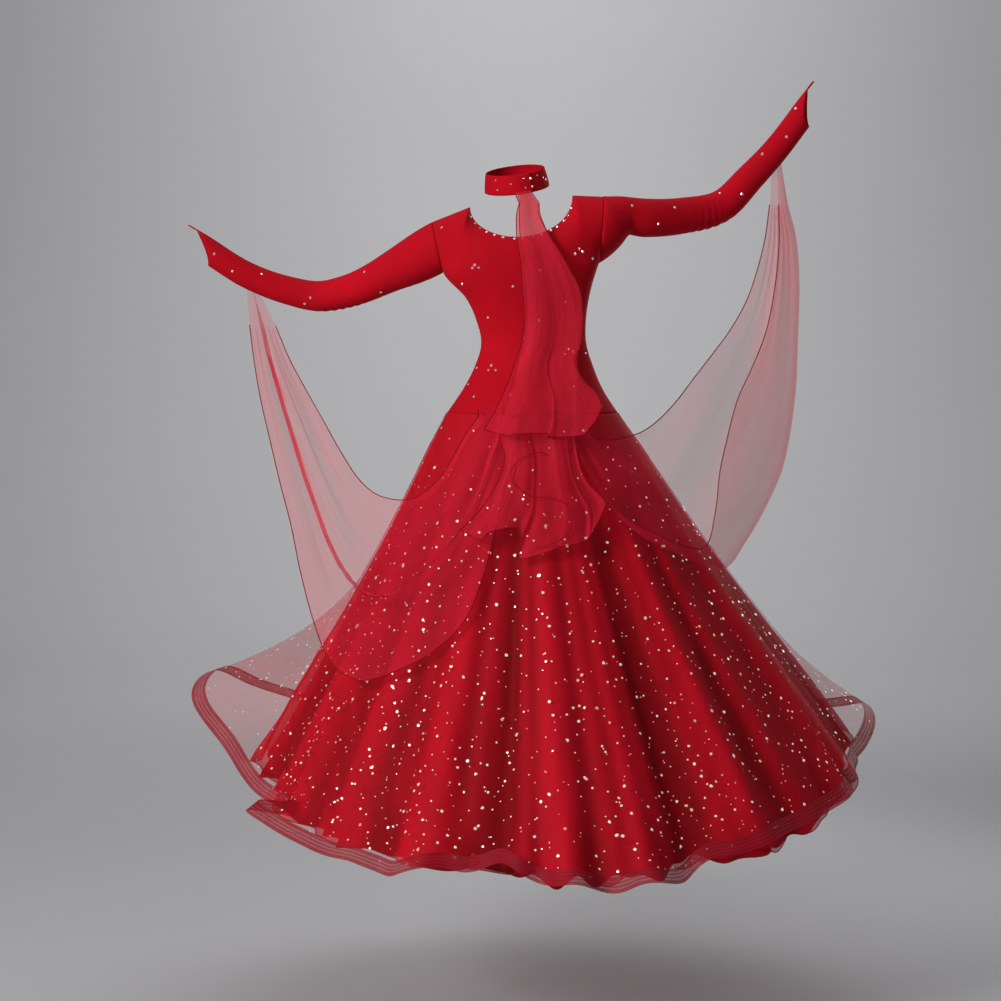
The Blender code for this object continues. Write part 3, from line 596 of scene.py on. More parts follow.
@dataclass(frozen=True)
class Satin:
    """Smooth satin of the underskirt, with shade painted into the valleys between its folds."""

    name: str = "satin"
    # the deep colour is reached both in random patches and as painted shade in the fold valleys
    deep: Triple = (0.20, 0.0004, 0.0030)
    light: Triple = (0.62, 0.0035, 0.0165)
    streaks: Triple = (900.0, 40.0, 1.0)
    streak_height: float = 0.0001
    patches: Triple = (7.0, 7.0, 3.0)
    drags: Triple = (55.0, 6.0, 1.0)
    drag_height: float = 0.003
    # how strongly the valley measure paints shade into the colour
    valley: float = 1.4
    rough: float = 0.62

    def material(self) -> Material:
        """Fine streaks run down the cloth under a soft gloss, and shade is painted into the valleys between
        folds as a darker colour.

        Returns:
            The material.
        """
        finish = Finish(
            self.name, Metallic=0.0, Specular_IOR_Level=0.12, Sheen_Weight=0.10, Sheen_Roughness=0.4,
            Sheen_Tint=(0.9, 0.04, 0.06, 1.0),
        )
        streak = finish.noise(finish.uv, self.streaks, 2.0)
        patch = finish.noise(finish.place, self.patches, 3.0)
        drag = finish.noise(finish.uv, self.drags, 3.0)
        valley_shade = finish.attribute("valley_shade")
        # painted shade: the deeper the valley between folds, the nearer the colour comes to the deep colour
        shade = (patch * 0.4 + streak * 0.2 + 0.9 - valley_shade * valley_shade * self.valley).between(0.0, 1.0)
        finish.colour(shade, self.deep, self.light)
        finish.set("Roughness", self.rough + (streak - 0.5) * 0.16)
        finish.bump(streak * self.streak_height + drag * self.drag_height, 0.6)
        return finish.material


@dataclass(frozen=True)
class Sheer:
    """A woven sheer cloth: organza, or the softer tulle."""

    name: str
    deep: Triple
    light: Triple
    cover: float
    cover_play: float = 0.10
    thread: float = 0.0009
    thread_height: float = 0.00005
    streaks: Triple = (26.0, 5.0, 1.0)
    clouds: Triple = (6.0, 6.0, 6.0)
    creases: Triple = (48.0, 11.0, 1.0)
    crease: float = 0.0022
    # how strongly the valley measure paints shade into the colour, on the skirt's layers only
    valley: float = 1.3
    gathered: float = 0.40
    rough: float = 0.72
    sheen: float = 0.06

    def material(self) -> Material:
        """Threads both ways let the light through; the cloth covers more where it bunches up, and on the
        skirt shade is painted into the valleys between folds.

        Returns:
            The material.
        """
        finish = Finish(
            self.name, Metallic=0.0, Specular_IOR_Level=0.12, Sheen_Weight=self.sheen, Sheen_Roughness=0.35,
            Sheen_Tint=(1.0, 0.12, 0.16, 1.0),
        )
        u, v, _ = finish.axes(finish.uv)
        weave = u.waves(self.thread) * v.waves(self.thread)
        streak = finish.noise(finish.uv, self.streaks, 3.0)
        cloud = finish.noise(finish.place, self.clouds, 2.0)
        crease = finish.noise(finish.uv, self.creases, 3.0)
        valley_shade = finish.attribute("valley_shade")
        # painted shade: on the skirt's layers the colour darkens in the valleys between folds
        shade = (streak * 0.8 + cloud * 0.2 + 0.45 - valley_shade * valley_shade * self.valley).between(0.0, 1.0)
        finish.colour(shade, self.deep, self.light)
        finish.set("Roughness", self.rough + (streak - 0.5) * 0.15)
        cover = self.cover + (streak - 0.5) * self.cover_play + weave * 0.05
        cover = cover + finish.attribute("bunch") * self.gathered
        finish.set("Alpha", cover.between(0.05, 0.97))
        finish.bump(weave * self.thread_height + crease * self.crease, 0.6)
        return finish.material


@dataclass(frozen=True)
class Braid:
    """Stiff horsehair braid: close lines along the band, open between them."""

    name: str = "horsehair_braid"
    deep: Triple = (0.16, 0.0010, 0.0060)
    light: Triple = (0.36, 0.0040, 0.0170)
    line: float = 0.0062
    line_height: float = 0.0004
    mesh: float = 0.0016
    mesh_height: float = 0.0001
    patches: Triple = (18.0, 60.0, 1.0)
    cover: float = 0.64

    def material(self) -> Material:
        """Lines run with the band over a fine slanting mesh, and its edges are bound closer.

        Returns:
            The material.
        """
        finish = Finish(
            self.name, Metallic=0.0, Specular_IOR_Level=0.15, Sheen_Weight=0.08, Sheen_Roughness=0.3,
            Sheen_Tint=(1.0, 0.1, 0.14, 1.0),
        )
        u, v, _ = finish.axes(finish.uv)
        lines = v.waves(self.line) * 0.5 + 0.5
        mesh = (u + v).waves(self.mesh) * (u - v).waves(self.mesh)
        edge = finish.attribute("edge")
        patch = finish.noise(finish.uv, self.patches, 3.0)
        depth = (lines * 0.55 + edge * 0.5 + patch * 0.4 - 0.2).between(0.0, 1.0)
        finish.colour(depth, self.light, self.deep)
        finish.set("Roughness", 0.42 + patch * 0.15)
        cover = self.cover + lines * 0.22 + edge * 0.30 + mesh * 0.08 + (patch - 0.5) * 0.25
        finish.set("Alpha", cover.between(0.2, 0.97))
        finish.bump(lines * self.line_height + mesh * self.mesh_height, 0.7)
        return finish.material


@dataclass(frozen=True)
class Thread:
    """The close rolled edge of a sheer cloth, and sewing."""

    name: str = "rolled_edge"
    deep: Triple = (0.20, 0.001, 0.006)
    light: Triple = (0.44, 0.003, 0.012)
    pitch: float = 0.0012
    stitch_height: float = 0.0002
    patches: Triple = (60.0, 60.0, 60.0)
    cover: float = 0.85

    def material(self) -> Material:
        """Overcast stitches go round the edge, one each pitch.

        Returns:
            The material.
        """
        finish = Finish(self.name, Metallic=0.0, Roughness=0.6, Specular_IOR_Level=0.1)
        _, v, _ = finish.axes(finish.uv)
        stitch = v.waves(self.pitch) * 0.5 + 0.5
        patch = finish.noise(finish.place, self.patches, 2.0)
        shade = (stitch * 0.35 + patch * 0.5).between(0.0, 1.0)
        finish.colour(shade, self.deep, self.light)
        finish.set("Alpha", (self.cover + (patch - 0.5) * 0.3).between(0.3, 1.0))
        finish.bump(stitch * self.stitch_height, 0.5)
        return finish.material


@dataclass(frozen=True)
class Glint:
    """Mirror-backed stones or foil dots, each a little different in tone, with a faint painted glow."""

    name: str
    pale: Triple
    warm: Triple
    metal: float
    rough: float
    # emission strength: a painted glint, as the stones and dots give off no light
    painted_glow: float
    patches: Triple = (900.0, 900.0, 900.0)

    def material(self) -> Material:
        """Each piece's tone, cubed, picks its colour between pale and warm, which it also gives off faintly
        as a painted glint, though it is no lamp.

        Returns:
            The material.
        """
        finish = Finish(
            self.name, Metallic=self.metal, Coat_Weight=0.6, Coat_Roughness=0.05, Emission_Strength=self.painted_glow
        )
        tone = finish.attribute("tone")
        patch = finish.noise(finish.place, self.patches, 1.0)
        share = (tone * tone * tone * 1.05 - 0.08 + patch * 0.15).between(0.0, 1.0)
        colour = finish.blend(share, self.pale, self.warm)
        finish.set("Base Color", colour)
        # painted glint: the piece glows in its own colour
        finish.set("Emission Color", colour)
        finish.set("Roughness", self.rough + patch * 0.2)
        return finish.material


@dataclass
class Looks:
    """The dress's materials."""

    jersey: Material
    skirt: dict[Layer, Material]
    braid: Material
    thread: Material
    organza: Material
    float_organza: Material
    foil: Material
    crystal: Material


RED_ORGANZA = Sheer("red_organza", (0.44, 0.004, 0.020), (0.70, 0.014, 0.044), cover=0.27, cover_play=0.12)
FLOAT_ORGANZA = Sheer(
    "float_organza", (0.38, 0.002, 0.012), (0.68, 0.013, 0.038), cover=0.36, cover_play=0.24
)
# these two skirt layers also take painted shade in their fold valleys, towards their deep colour
LAYER_ORGANZA = Sheer("layer_organza", (0.24, 0.0008, 0.004), (0.62, 0.004, 0.018), cover=0.72, crease=0.002)
SOFT_TULLE = Sheer("soft_tulle", (0.34, 0.001, 0.006), (0.64, 0.005, 0.020), cover=0.24, cover_play=0.14)
# both give off a faint painted glow
FOIL = Glint("foil", (1.0, 0.93, 0.84), (0.80, 0.36, 0.20), metal=0.85, rough=0.22, painted_glow=0.42)
CRYSTAL = Glint("crystal", (0.86, 0.90, 0.96), (0.98, 0.80, 0.62), metal=0.9, rough=0.06, painted_glow=0.10)
TORSO_SECTIONS = table(
    "height, left, right, back, front",
    (-0.385, -0.1314, 0.1813, 0.118, 0.104), (-0.345, -0.104, 0.1554, 0.097, 0.094),
    (-0.3, -0.0805, 0.136, 0.077, 0.084), (-0.259, -0.0688, 0.1236, 0.068, 0.08),
    (-0.215, -0.0777, 0.1225, 0.07, 0.09), (-0.175, -0.0962, 0.1277, 0.077, 0.106),
    (-0.126, -0.1388, 0.1406, 0.086, 0.116), (-0.11, -0.141, 0.146, 0.087, 0.114),
    (-0.04, -0.141, 0.146, 0.084, 0.092), (0.02, -0.141, 0.146, 0.074, 0.076),
)
UNDERSKIRT_HEM = table(
    "direction, reach, drop",
    (-180, 0.455, 0.7), (-140, 0.47, 0.68), (-110, 0.505, 0.66), (-88, 0.52, 0.652),
    (-60, 0.49, 0.722), (-30, 0.48, 0.742), (0, 0.485, 0.757), (30, 0.495, 0.745),
    (60, 0.53, 0.705), (88, 0.55, 0.615), (110, 0.52, 0.62), (140, 0.475, 0.67),
)
# `turn` is the place in the cloth, `direction` where it hangs, and `own` is 1 where the reach
# already holds the folds, as it does along the two big curls
OUTER_HEM = table(
    "turn, direction, reach, drop, own",
    (-180, -180, 0.505, 0.72, 0), (-148, -148, 0.528, 0.686, 0), (-134, -133, 0.548, 0.632, 0),
    (-122, -120, 0.593, 0.579, 1), (-114, -109, 0.61, 0.538, 1), (-108, -101, 0.643, 0.5, 1),
    (-103, -95, 0.664, 0.516, 1), (-98, -90, 0.655, 0.552, 1), (-94, -83, 0.604, 0.607, 1),
    (-89, -76, 0.576, 0.651, 1), (-84, -69, 0.562, 0.673, 1), (-78, -63, 0.535, 0.693, 1),
    (-73, -60, 0.552, 0.694, 1), (-68, -58, 0.624, 0.675, 1), (-63, -54, 0.612, 0.694, 1),
    (-56, -47, 0.592, 0.718, 1), (-48, -40, 0.566, 0.738, 0.6), (-40, -34, 0.55, 0.746, 0.2),
    (-28, -26, 0.542, 0.742, 0), (-10, -10, 0.54, 0.73, 0), (5, 5, 0.545, 0.755, 0),
    (25, 23, 0.548, 0.748, 0), (38, 31, 0.548, 0.728, 0.3), (48, 39, 0.552, 0.71, 0.6),
    (57, 48, 0.562, 0.697, 1), (65, 56, 0.576, 0.679, 1), (71, 62, 0.59, 0.664, 1),
    (75, 66, 0.584, 0.657, 1), (81, 71, 0.552, 0.654, 1), (87, 78, 0.56, 0.638, 1),
    (93, 85, 0.592, 0.612, 1), (98, 92, 0.618, 0.583, 1), (104, 99, 0.624, 0.562, 1),
    (111, 107, 0.606, 0.578, 1), (124, 122, 0.556, 0.62, 0.4), (148, 148, 0.524, 0.68, 0),
)
SKIRT_FOLDS = table(
    "direction, height, width",
    (-172, 0.024, 8.0), (-154, 0.022, 7.0), (-137, 0.026, 8.0), (-119, 0.024, 7.5),
    (-101, 0.024, 7.5), (-84, 0.02, 6.5), (-66, 0.026, 7.0), (-47, 0.024, 6.5), (-27, 0.032, 7.5),
    (-11, -0.014, 3.5), (2, 0.034, 8.5), (16, 0.026, 6.5), (29, -0.02, 4.5), (41, 0.036, 7.5),
    (56, 0.022, 6.5), (71, 0.028, 7.5), (90, 0.022, 7.0), (108, 0.024, 7.5), (126, 0.026, 7.5),
    (143, 0.022, 7.0), (162, 0.026, 8.0),
)
LEFT_SLEEVE = table(
    "x, y, z, radius",
    (-0.2244, 0.03, -0.1192, 0.0365), (-0.32, 0.07, -0.16, 0.0295), (-0.376, 0.09, -0.169, 0.0275),
    (-0.4343, 0.09, -0.1578, 0.0255), (-0.5101, 0.08, -0.129, 0.0235),
    (-0.568, 0.07, -0.093, 0.0225),
)
RIGHT_SLEEVE = table(
    "x, y, z, radius",
    (0.19, 0.015, -0.025, 0.035), (0.2351, 0.03, -0.0265, 0.0345), (0.3041, 0.06, -0.0209, 0.0325),
    (0.383, 0.088, 0.001, 0.029), (0.432, 0.086, 0.05, 0.026), (0.4788, 0.08, 0.101, 0.0235),
    (0.522, 0.07, 0.158, 0.0225),
)
LEFT_WING = table(
    "upper_x, upper_y, upper_z, lower_x, lower_y, lower_z",
    (-0.457, 0.082, -0.225, -0.506, 0.083, -0.223), (-0.43, 0.078, -0.289, -0.498, 0.08, -0.289),
    (-0.396, 0.068, -0.351, -0.485, 0.072, -0.364), (-0.363, 0.05, -0.407, -0.467, 0.06, -0.439),
    (-0.333, 0.02, -0.456, -0.447, 0.04, -0.517), (-0.299, -0.02, -0.503, -0.424, 0.01, -0.595),
    (-0.266, -0.055, -0.53, -0.404, -0.03, -0.675), (-0.232, -0.08, -0.54, -0.376, -0.09, -0.758),
    (-0.199, -0.1, -0.539, -0.338, -0.19, -0.819), (-0.17, -0.122, -0.524, -0.281, -0.252, -0.846),
    (-0.141, -0.126, -0.495, -0.209, -0.282, -0.822),
    (-0.12, -0.124, -0.462, -0.148, -0.294, -0.787),
    (-0.105, -0.12, -0.434, -0.096, -0.292, -0.735),
    (-0.093, -0.12, -0.414, -0.066, -0.262, -0.665), (-0.084, -0.122, -0.402, -0.045, -0.23, -0.59),
    (-0.078, -0.124, -0.394, -0.025, -0.19, -0.508),
    (-0.074, -0.125, -0.388, -0.006, -0.15, -0.438),
)
RIGHT_WING = table(
    "upper_x, upper_y, upper_z, lower_x, lower_y, lower_z, folded_x, folded_y, folded_z",
    (0.47, 0.08, 0.001, 0.5, 0.08, 0.001, 0.485, 0.074, 0.001),
    (0.461, 0.078, -0.065, 0.516, 0.078, -0.065, 0.486, 0.072, -0.07),
    (0.444, 0.07, -0.13, 0.522, 0.075, -0.149, 0.479, 0.066, -0.149),
    (0.422, 0.055, -0.186, 0.52, 0.07, -0.242, 0.462, 0.054, -0.233),
    (0.39, 0.03, -0.237, 0.516, 0.06, -0.336, 0.433, 0.036, -0.304),
    (0.356, 0.0, -0.279, 0.505, 0.045, -0.419, 0.404, 0.01, -0.363),
    (0.321, -0.03, -0.321, 0.486, 0.02, -0.493, 0.383, -0.02, -0.431),
    (0.288, -0.05, -0.362, 0.452, -0.01, -0.561, 0.367, -0.05, -0.491),
    (0.256, -0.07, -0.394, 0.414, -0.05, -0.617, 0.356, -0.09, -0.557),
    (0.224, -0.09, -0.416, 0.373, -0.092, -0.662, 0.337, -0.12, -0.62),
    (0.188, -0.11, -0.427, 0.318, -0.148, -0.646, 0.292, -0.166, -0.616),
    (0.156, -0.124, -0.43, 0.262, -0.176, -0.62, 0.24, -0.19, -0.592),
    (0.136, -0.134, -0.427, 0.21, -0.192, -0.592, 0.192, -0.204, -0.566),
    (0.125, -0.134, -0.416, 0.166, -0.188, -0.55, 0.152, -0.2, -0.528),
    (0.119, -0.13, -0.404, 0.128, -0.166, -0.494, 0.118, -0.176, -0.476),
    (0.116, -0.127, -0.394, 0.097, -0.144, -0.436, 0.09, -0.152, -0.426),
)
LONG_FLOAT = table(
    "height, left, right, depth, off, fold",
    (-0.004, 0.001, 0.034, -0.0525, 0.0, 0.0015), (-0.026, 0.0, 0.036, -0.062, 0.0, 0.002),
    (-0.062, 0.001, 0.052, -0.078, 0.0, 0.002), (-0.092, 0.004, 0.066, -0.086, 0.003, 0.0025),
    (-0.13, 0.008, 0.082, -0.087, 0.0022, 0.003), (-0.18, 0.012, 0.098, -0.077, 0.0021, 0.004),
    (-0.222, 0.01, 0.106, -0.07, 0.0021, 0.005), (-0.27, 0.002, 0.106, -0.074, 0.004, 0.006),
    (-0.32, -0.01, 0.104, -0.105, 0.014, 0.007), (-0.36, -0.022, 0.102, -0.124, 0.02, 0.008),
    (-0.39, -0.03, 0.1, -0.14, 0.026, 0.008), (-0.422, -0.034, 0.098, -0.158, 0.028, 0.009),
    (-0.455, -0.026, 0.102, -0.178, 0.028, 0.01), (-0.489, -0.032, 0.11, -0.194, 0.028, 0.012),
    (-0.517, -0.046, 0.124, -0.204, 0.026, 0.014), (-0.545, -0.062, 0.143, -0.214, 0.024, 0.016),
    (-0.572, -0.08, 0.15, -0.224, 0.022, 0.018), (-0.604, -0.104, 0.15, -0.24, 0.02, 0.02),
)
LONG_HEM = table(
    "across, rise",
    (0.0, 0.022), (0.12, 0.006), (0.24, 0.02), (0.33, 0.026), (0.47, -0.026), (0.6, -0.008),
    (0.8, 0.0), (0.87, 0.01), (0.93, 0.026), (0.97, 0.044), (1.0, 0.066),
)
SHORT_HEM = table(
    "across, rise",
    (0.0, 0.012), (0.2, 0.001), (0.4, 0.006), (0.65, -0.002), (0.76, 0.001), (0.84, 0.006),
    (0.91, 0.016), (0.96, 0.03), (1.0, 0.052),
)
LONG_CURL = table(
    "x, height",
    (0.047, -0.453), (0.033, -0.449), (0.001, -0.46), (-0.016, -0.484), (-0.009, -0.505),
    (0.023, -0.525), (0.051, -0.526), (0.077, -0.535), (0.087, -0.556), (0.087, -0.581),
    (0.058, -0.603), (0.026, -0.612),
)
SHORT_FLOAT = table(
    "height, left, right, depth, off, fold",
    (-0.004, 0.0, 0.036, -0.059, 0.0, 0.0015), (-0.026, -0.005, 0.038, -0.069, 0.0, 0.002),
    (-0.062, -0.005, 0.053, -0.0855, 0.0, 0.002), (-0.092, -0.001, 0.072, -0.095, 0.011, 0.0025),
    (-0.121, 0.003, 0.088, -0.1, 0.012, 0.003), (-0.159, 0.005, 0.108, -0.1, 0.014, 0.004),
    (-0.194, 0.008, 0.113, -0.097, 0.016, 0.005), (-0.222, 0.008, 0.114, -0.096, 0.019, 0.006),
    (-0.26, 0.003, 0.11, -0.1, 0.023, 0.007), (-0.291, -0.008, 0.1, -0.106, 0.027, 0.008),
    (-0.324, -0.019, 0.112, -0.12, 0.031, 0.009), (-0.355, -0.032, 0.136, -0.14, 0.037, 0.01),
    (-0.39, -0.048, 0.145, -0.16, 0.044, 0.013), (-0.421, -0.064, 0.145, -0.178, 0.046, 0.015),
)
BACK_STONES = table(
    "x, height",
    (-0.08, -0.116), (-0.075, -0.123), (-0.086, -0.123), (0.107, -0.087), (0.115, -0.093),
    (0.1, -0.095), (-0.05, -0.298), (-0.042, -0.305), (-0.055, -0.307), (0.09, -0.267),
    (0.097, -0.273), (0.084, -0.275), (-0.142, -0.048), (-0.104, -0.15), (-0.01, -0.156),
    (-0.057, -0.211), (0.084, -0.181), (0.035, -0.217), (0.008, -0.248), (0.039, -0.125),
    (0.133, -0.103), (0.121, -0.278), (0.099, -0.334), (-0.017, -0.351), (-0.093, -0.331),
    (-0.077, -0.302), (-0.082, -0.354),
)
SLEEVE_STONES = {
    Side.LEFT: table(
        "share, turn",
        (0.28, 150), (0.3, 60), (0.58, 100), (0.6, 130), (0.8, 60), (0.9, 110), (0.97, 90),
    ),
    Side.RIGHT: table(
        "share, turn",
        (0.12, 60), (0.22, 110), (0.3, 60), (0.55, 40), (0.63, 110), (0.8, 60), (0.9, 100),
        (0.95, 50),
    ),
}
COLLAR_STONES = table(
    "direction, drop",
    (318, 0.2), (322, 0.72), (349, 0.45), (373, 0.22), (374, 0.74), (386, 0.68), (396, 0.3),
    (44, 0.2), (66, 0.55), (60, 0.4), (120, 0.6), (180, 0.4), (240, 0.55),
)


@dataclass
class Torso:
    """The trunk of the dress: its level sections and the edges of its two panels."""

    sections: Table = kept(TORSO_SECTIONS)
    underarm: dict[Side, Pair] = kept(
        {Side.LEFT: (-0.1388, -0.1260), Side.RIGHT: (0.1460, -0.1100)}
    )
    shoulder: dict[Side, Pair] = kept(
        {Side.LEFT: (-0.1590, -0.0360), Side.RIGHT: (0.1560, 0.0100)}
    )
    neck: dict[Side, Pair] = kept(
        {Side.LEFT: (-0.0905, -0.0090), Side.RIGHT: (0.0990, 0.0125)}
    )
    neckline_low: dict[Face, Pair] = kept(
        {Face.BACK: (-0.0045, -0.0660), Face.FRONT: (0.0040, -0.0850)}
    )
    armhole_depth: dict[Face, float] = kept({Face.BACK: 0.047, Face.FRONT: 0.052})
    neckline_share: float = 2.0 / 3.0
    nape_rounding: float = 0.62
    rounding_power: float = 2.4
    square: float = 0.8
    square_start: float = 0.35
    side_sharpness: float = 10.0
    bust_fullness: float = 0.014
    bust_spot: float = 0.46
    bust_spread: float = 0.26
    bust_height: float = -0.165
    bust_tall: float = 0.055
    side_gap: float = 0.0002
    columns: int = 96
    lower_rows: int = 60
    upper_rows: int = 42

    @property
    def seam_height(self) -> float:
        """Height of the hip seam."""
        return float(self.sections.height[0])

    def section(self, height: Array) -> tuple[Array, ...]:
        """The level sections, read from the table along a smooth curve.

        Args:
            height: The height of each.

        Returns:
            The centre, half width, back depth and front depth of each.
        """
        sides = numbers(self.sections)[:, 1:]
        left, right, back, front = np.moveaxis(flowing(height, self.sections.height, sides), -1, 0)
        return (left + right) / 2, (right - left) / 2, back, front

    def bust(self, u: Array, z: Array) -> Array:
        """Extra depth from the front's darts: a bell either side of the middle."""
        across = bell(np.abs(u), self.bust_spot, self.bust_spread)
        return self.bust_fullness * across * bell(z, self.bust_height, self.bust_tall)

    def underarm_height(self, u: Array) -> Array:
        """Height of the underarm, between the left side's and the right side's."""
        low, high = self.underarm[Side.LEFT][1], self.underarm[Side.RIGHT][1]
        return low + (high - low) * (u + 1) / 2

    def fullness(self, face: Face, u: Array, z: Array) -> Array:
        """Depth of one half's level section at its middle, with the bust on the front."""
        _, _, back, front = self.section(z)
        return back if face is Face.BACK else front + self.bust(u, z)

    def depth(self, face: Face, u: Array, z: Array) -> Array:
        """Depth of a panel below the underarm: a half ellipse that grows squarer on its way up.

        Args:
            face: The back or the front.
            u: Places across, from -1 to 1.
            z: Heights.

        Returns:
            The depth at each place.
        """
        up = (z - self.seam_height) / (self.underarm_height(u) - self.seam_height)
        square = self.square * smooth_step((up - self.square_start) / (1 - self.square_start))
        wave = np.cos(u * math.pi / 2)
        inside = 1 - np.abs(u) ** self.side_sharpness
        return self.fullness(face, u, z) * wave + self.armhole_depth[face] * square * inside * (1 - wave)

    def top_edge(self, face: Face, u: Array) -> tuple[Array, Array]:
        """The panel's top edge: a quarter sine from the low point to the neck, then straight to the shoulder.

        Args:
            face: The back or the front.
            u: Places across, from -1 at the left to 1 at the right.

        Returns:
            x and height at each place.
        """
        low_x, low_z = self.neckline_low[face]
        x, z = np.zeros_like(u), np.zeros_like(u)
        for side in Side:
            mine = u * side.value >= 0
            share = np.abs(u[mine])
            turn = np.clip(share / self.neckline_share, 0, 1) * math.pi / 2
            out = np.clip((share - self.neckline_share) / (1 - self.neckline_share), 0, 1)
            (neck_x, neck_z), (end_x, end_z) = self.neck[side], self.shoulder[side]
            x[mine] = low_x + (neck_x - low_x) * np.sin(turn) + (end_x - neck_x) * out
            z[mine] = low_z + (neck_z - low_z) * (1 - np.cos(turn)) + (end_z - neck_z) * out
        return x, z

    def panel(self, face: Face) -> Array:
        """Half ellipses x = c + a*sin(u*pi/2), y = depth*cos(u*pi/2), domed to the neckline.

        Args:
            face: The back or the front.

        Returns:
            Rows of points from the hip seam up, from the left seam to the right.
        """
        u = np.linspace(-1, 1, self.columns + 1)
        armpit = self.underarm_height(u)
        wave = np.cos(u * math.pi / 2)
        inside = 1 - np.abs(u) ** self.side_sharpness
        seam = self.seam_height
        z = seam + (armpit - seam)[None, :] * np.linspace(0, 1, self.lower_rows + 1)[:, None]
        centre, half, _, _ = self.section(z)
        depth = self.depth(face, u, z)
        lower = np.stack([centre + half * np.sin(u * math.pi / 2), face.value * depth, z], -1)
        top_x, top_z = self.top_edge(face, u)
        rounding = smooth_step(np.abs(u) / self.neckline_share)
        rounding = self.nape_rounding + (1 - self.nape_rounding) * rounding
        turn = math.pi * np.arange(1, self.upper_rows + 1)[:, None] / self.upper_rows
        q = (1 - np.cos(turn)) / 2
        x = lower[-1, :, 0] + (top_x - lower[-1, :, 0]) * q
        z = armpit + (top_z - armpit) * q
        full = self.fullness(face, u, z)
        square = np.where(q < 0.5, self.square + (1 - self.square) * smooth_step(2 * q), np.sin(turn))
        edge = self.armhole_depth[face] * (square * inside + np.sin(turn) * (1 - inside))
        dome = np.sqrt(np.clip(1 - (q * rounding) ** self.rounding_power, 0, 1))
        upper = np.stack([x, face.value * (edge + (full * dome - edge) * wave), z], -1)
        grid = np.concatenate([lower, upper])
        grid[..., 1] += face.value * self.side_gap
        return grid

    def side_line(self, face: Face, side: Side) -> Array:
        """The last line of points of a panel at one side, from the hip seam up."""
        return self.panel(face)[:, 0 if side is Side.LEFT else -1]

    def armhole(self, side: Side) -> Array:
        """Points round one armhole, from the shoulder over the back and under the arm to the front."""
        back, front = (self.side_line(face, side)[self.lower_rows :] for face in (Face.BACK, Face.FRONT))
        return np.concatenate([back[::-1], front[1:-1]])


@dataclass
class Bodice:
    """The two jersey panels, their seams and the bound neckline."""

    torso: Torso
    wall: float = 0.0010
    binding: float = 0.0011
    seam: float = 0.0006
    cut: Pair = (0.44, 0.42)
    area: float = 0.128

    def build(self, looks: Looks) -> Pieces:
        """Makes the bodice.

        Args:
            looks: The dress's materials.

        Returns:
            Every piece of it.
        """
        made = []
        for face in Face:
            grid = self.torso.panel(face)
            name = f"bodice_{face.name.lower()}"
            panel = dress(grid_mesh(name + "_panel", grid, side=face.value), looks.jersey)
            thicken(panel, self.wall)
            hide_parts(name)
            edge = self.neckline(face)
            bound = dress(tube(name + "_neck_binding", edge, self.binding), looks.jersey)
            made += [panel, bound]
        for side in Side:
            line = self.torso.side_line(Face.BACK, side)[: self.torso.lower_rows + 1] * (1.0, 0.0, 1.0)
            seam = tube(f"side_seam_{side.name.lower()}", line, self.seam, sides=5)
            made.append(dress(seam, looks.thread))
        return made

    def neckline(self, face: Face) -> Array:
        """The panel's top edge between the shoulder seams."""
        u = np.linspace(-1, 1, self.torso.columns + 1)
        return self.torso.panel(face)[-1, np.abs(u) <= self.torso.neckline_share + 1e-6]


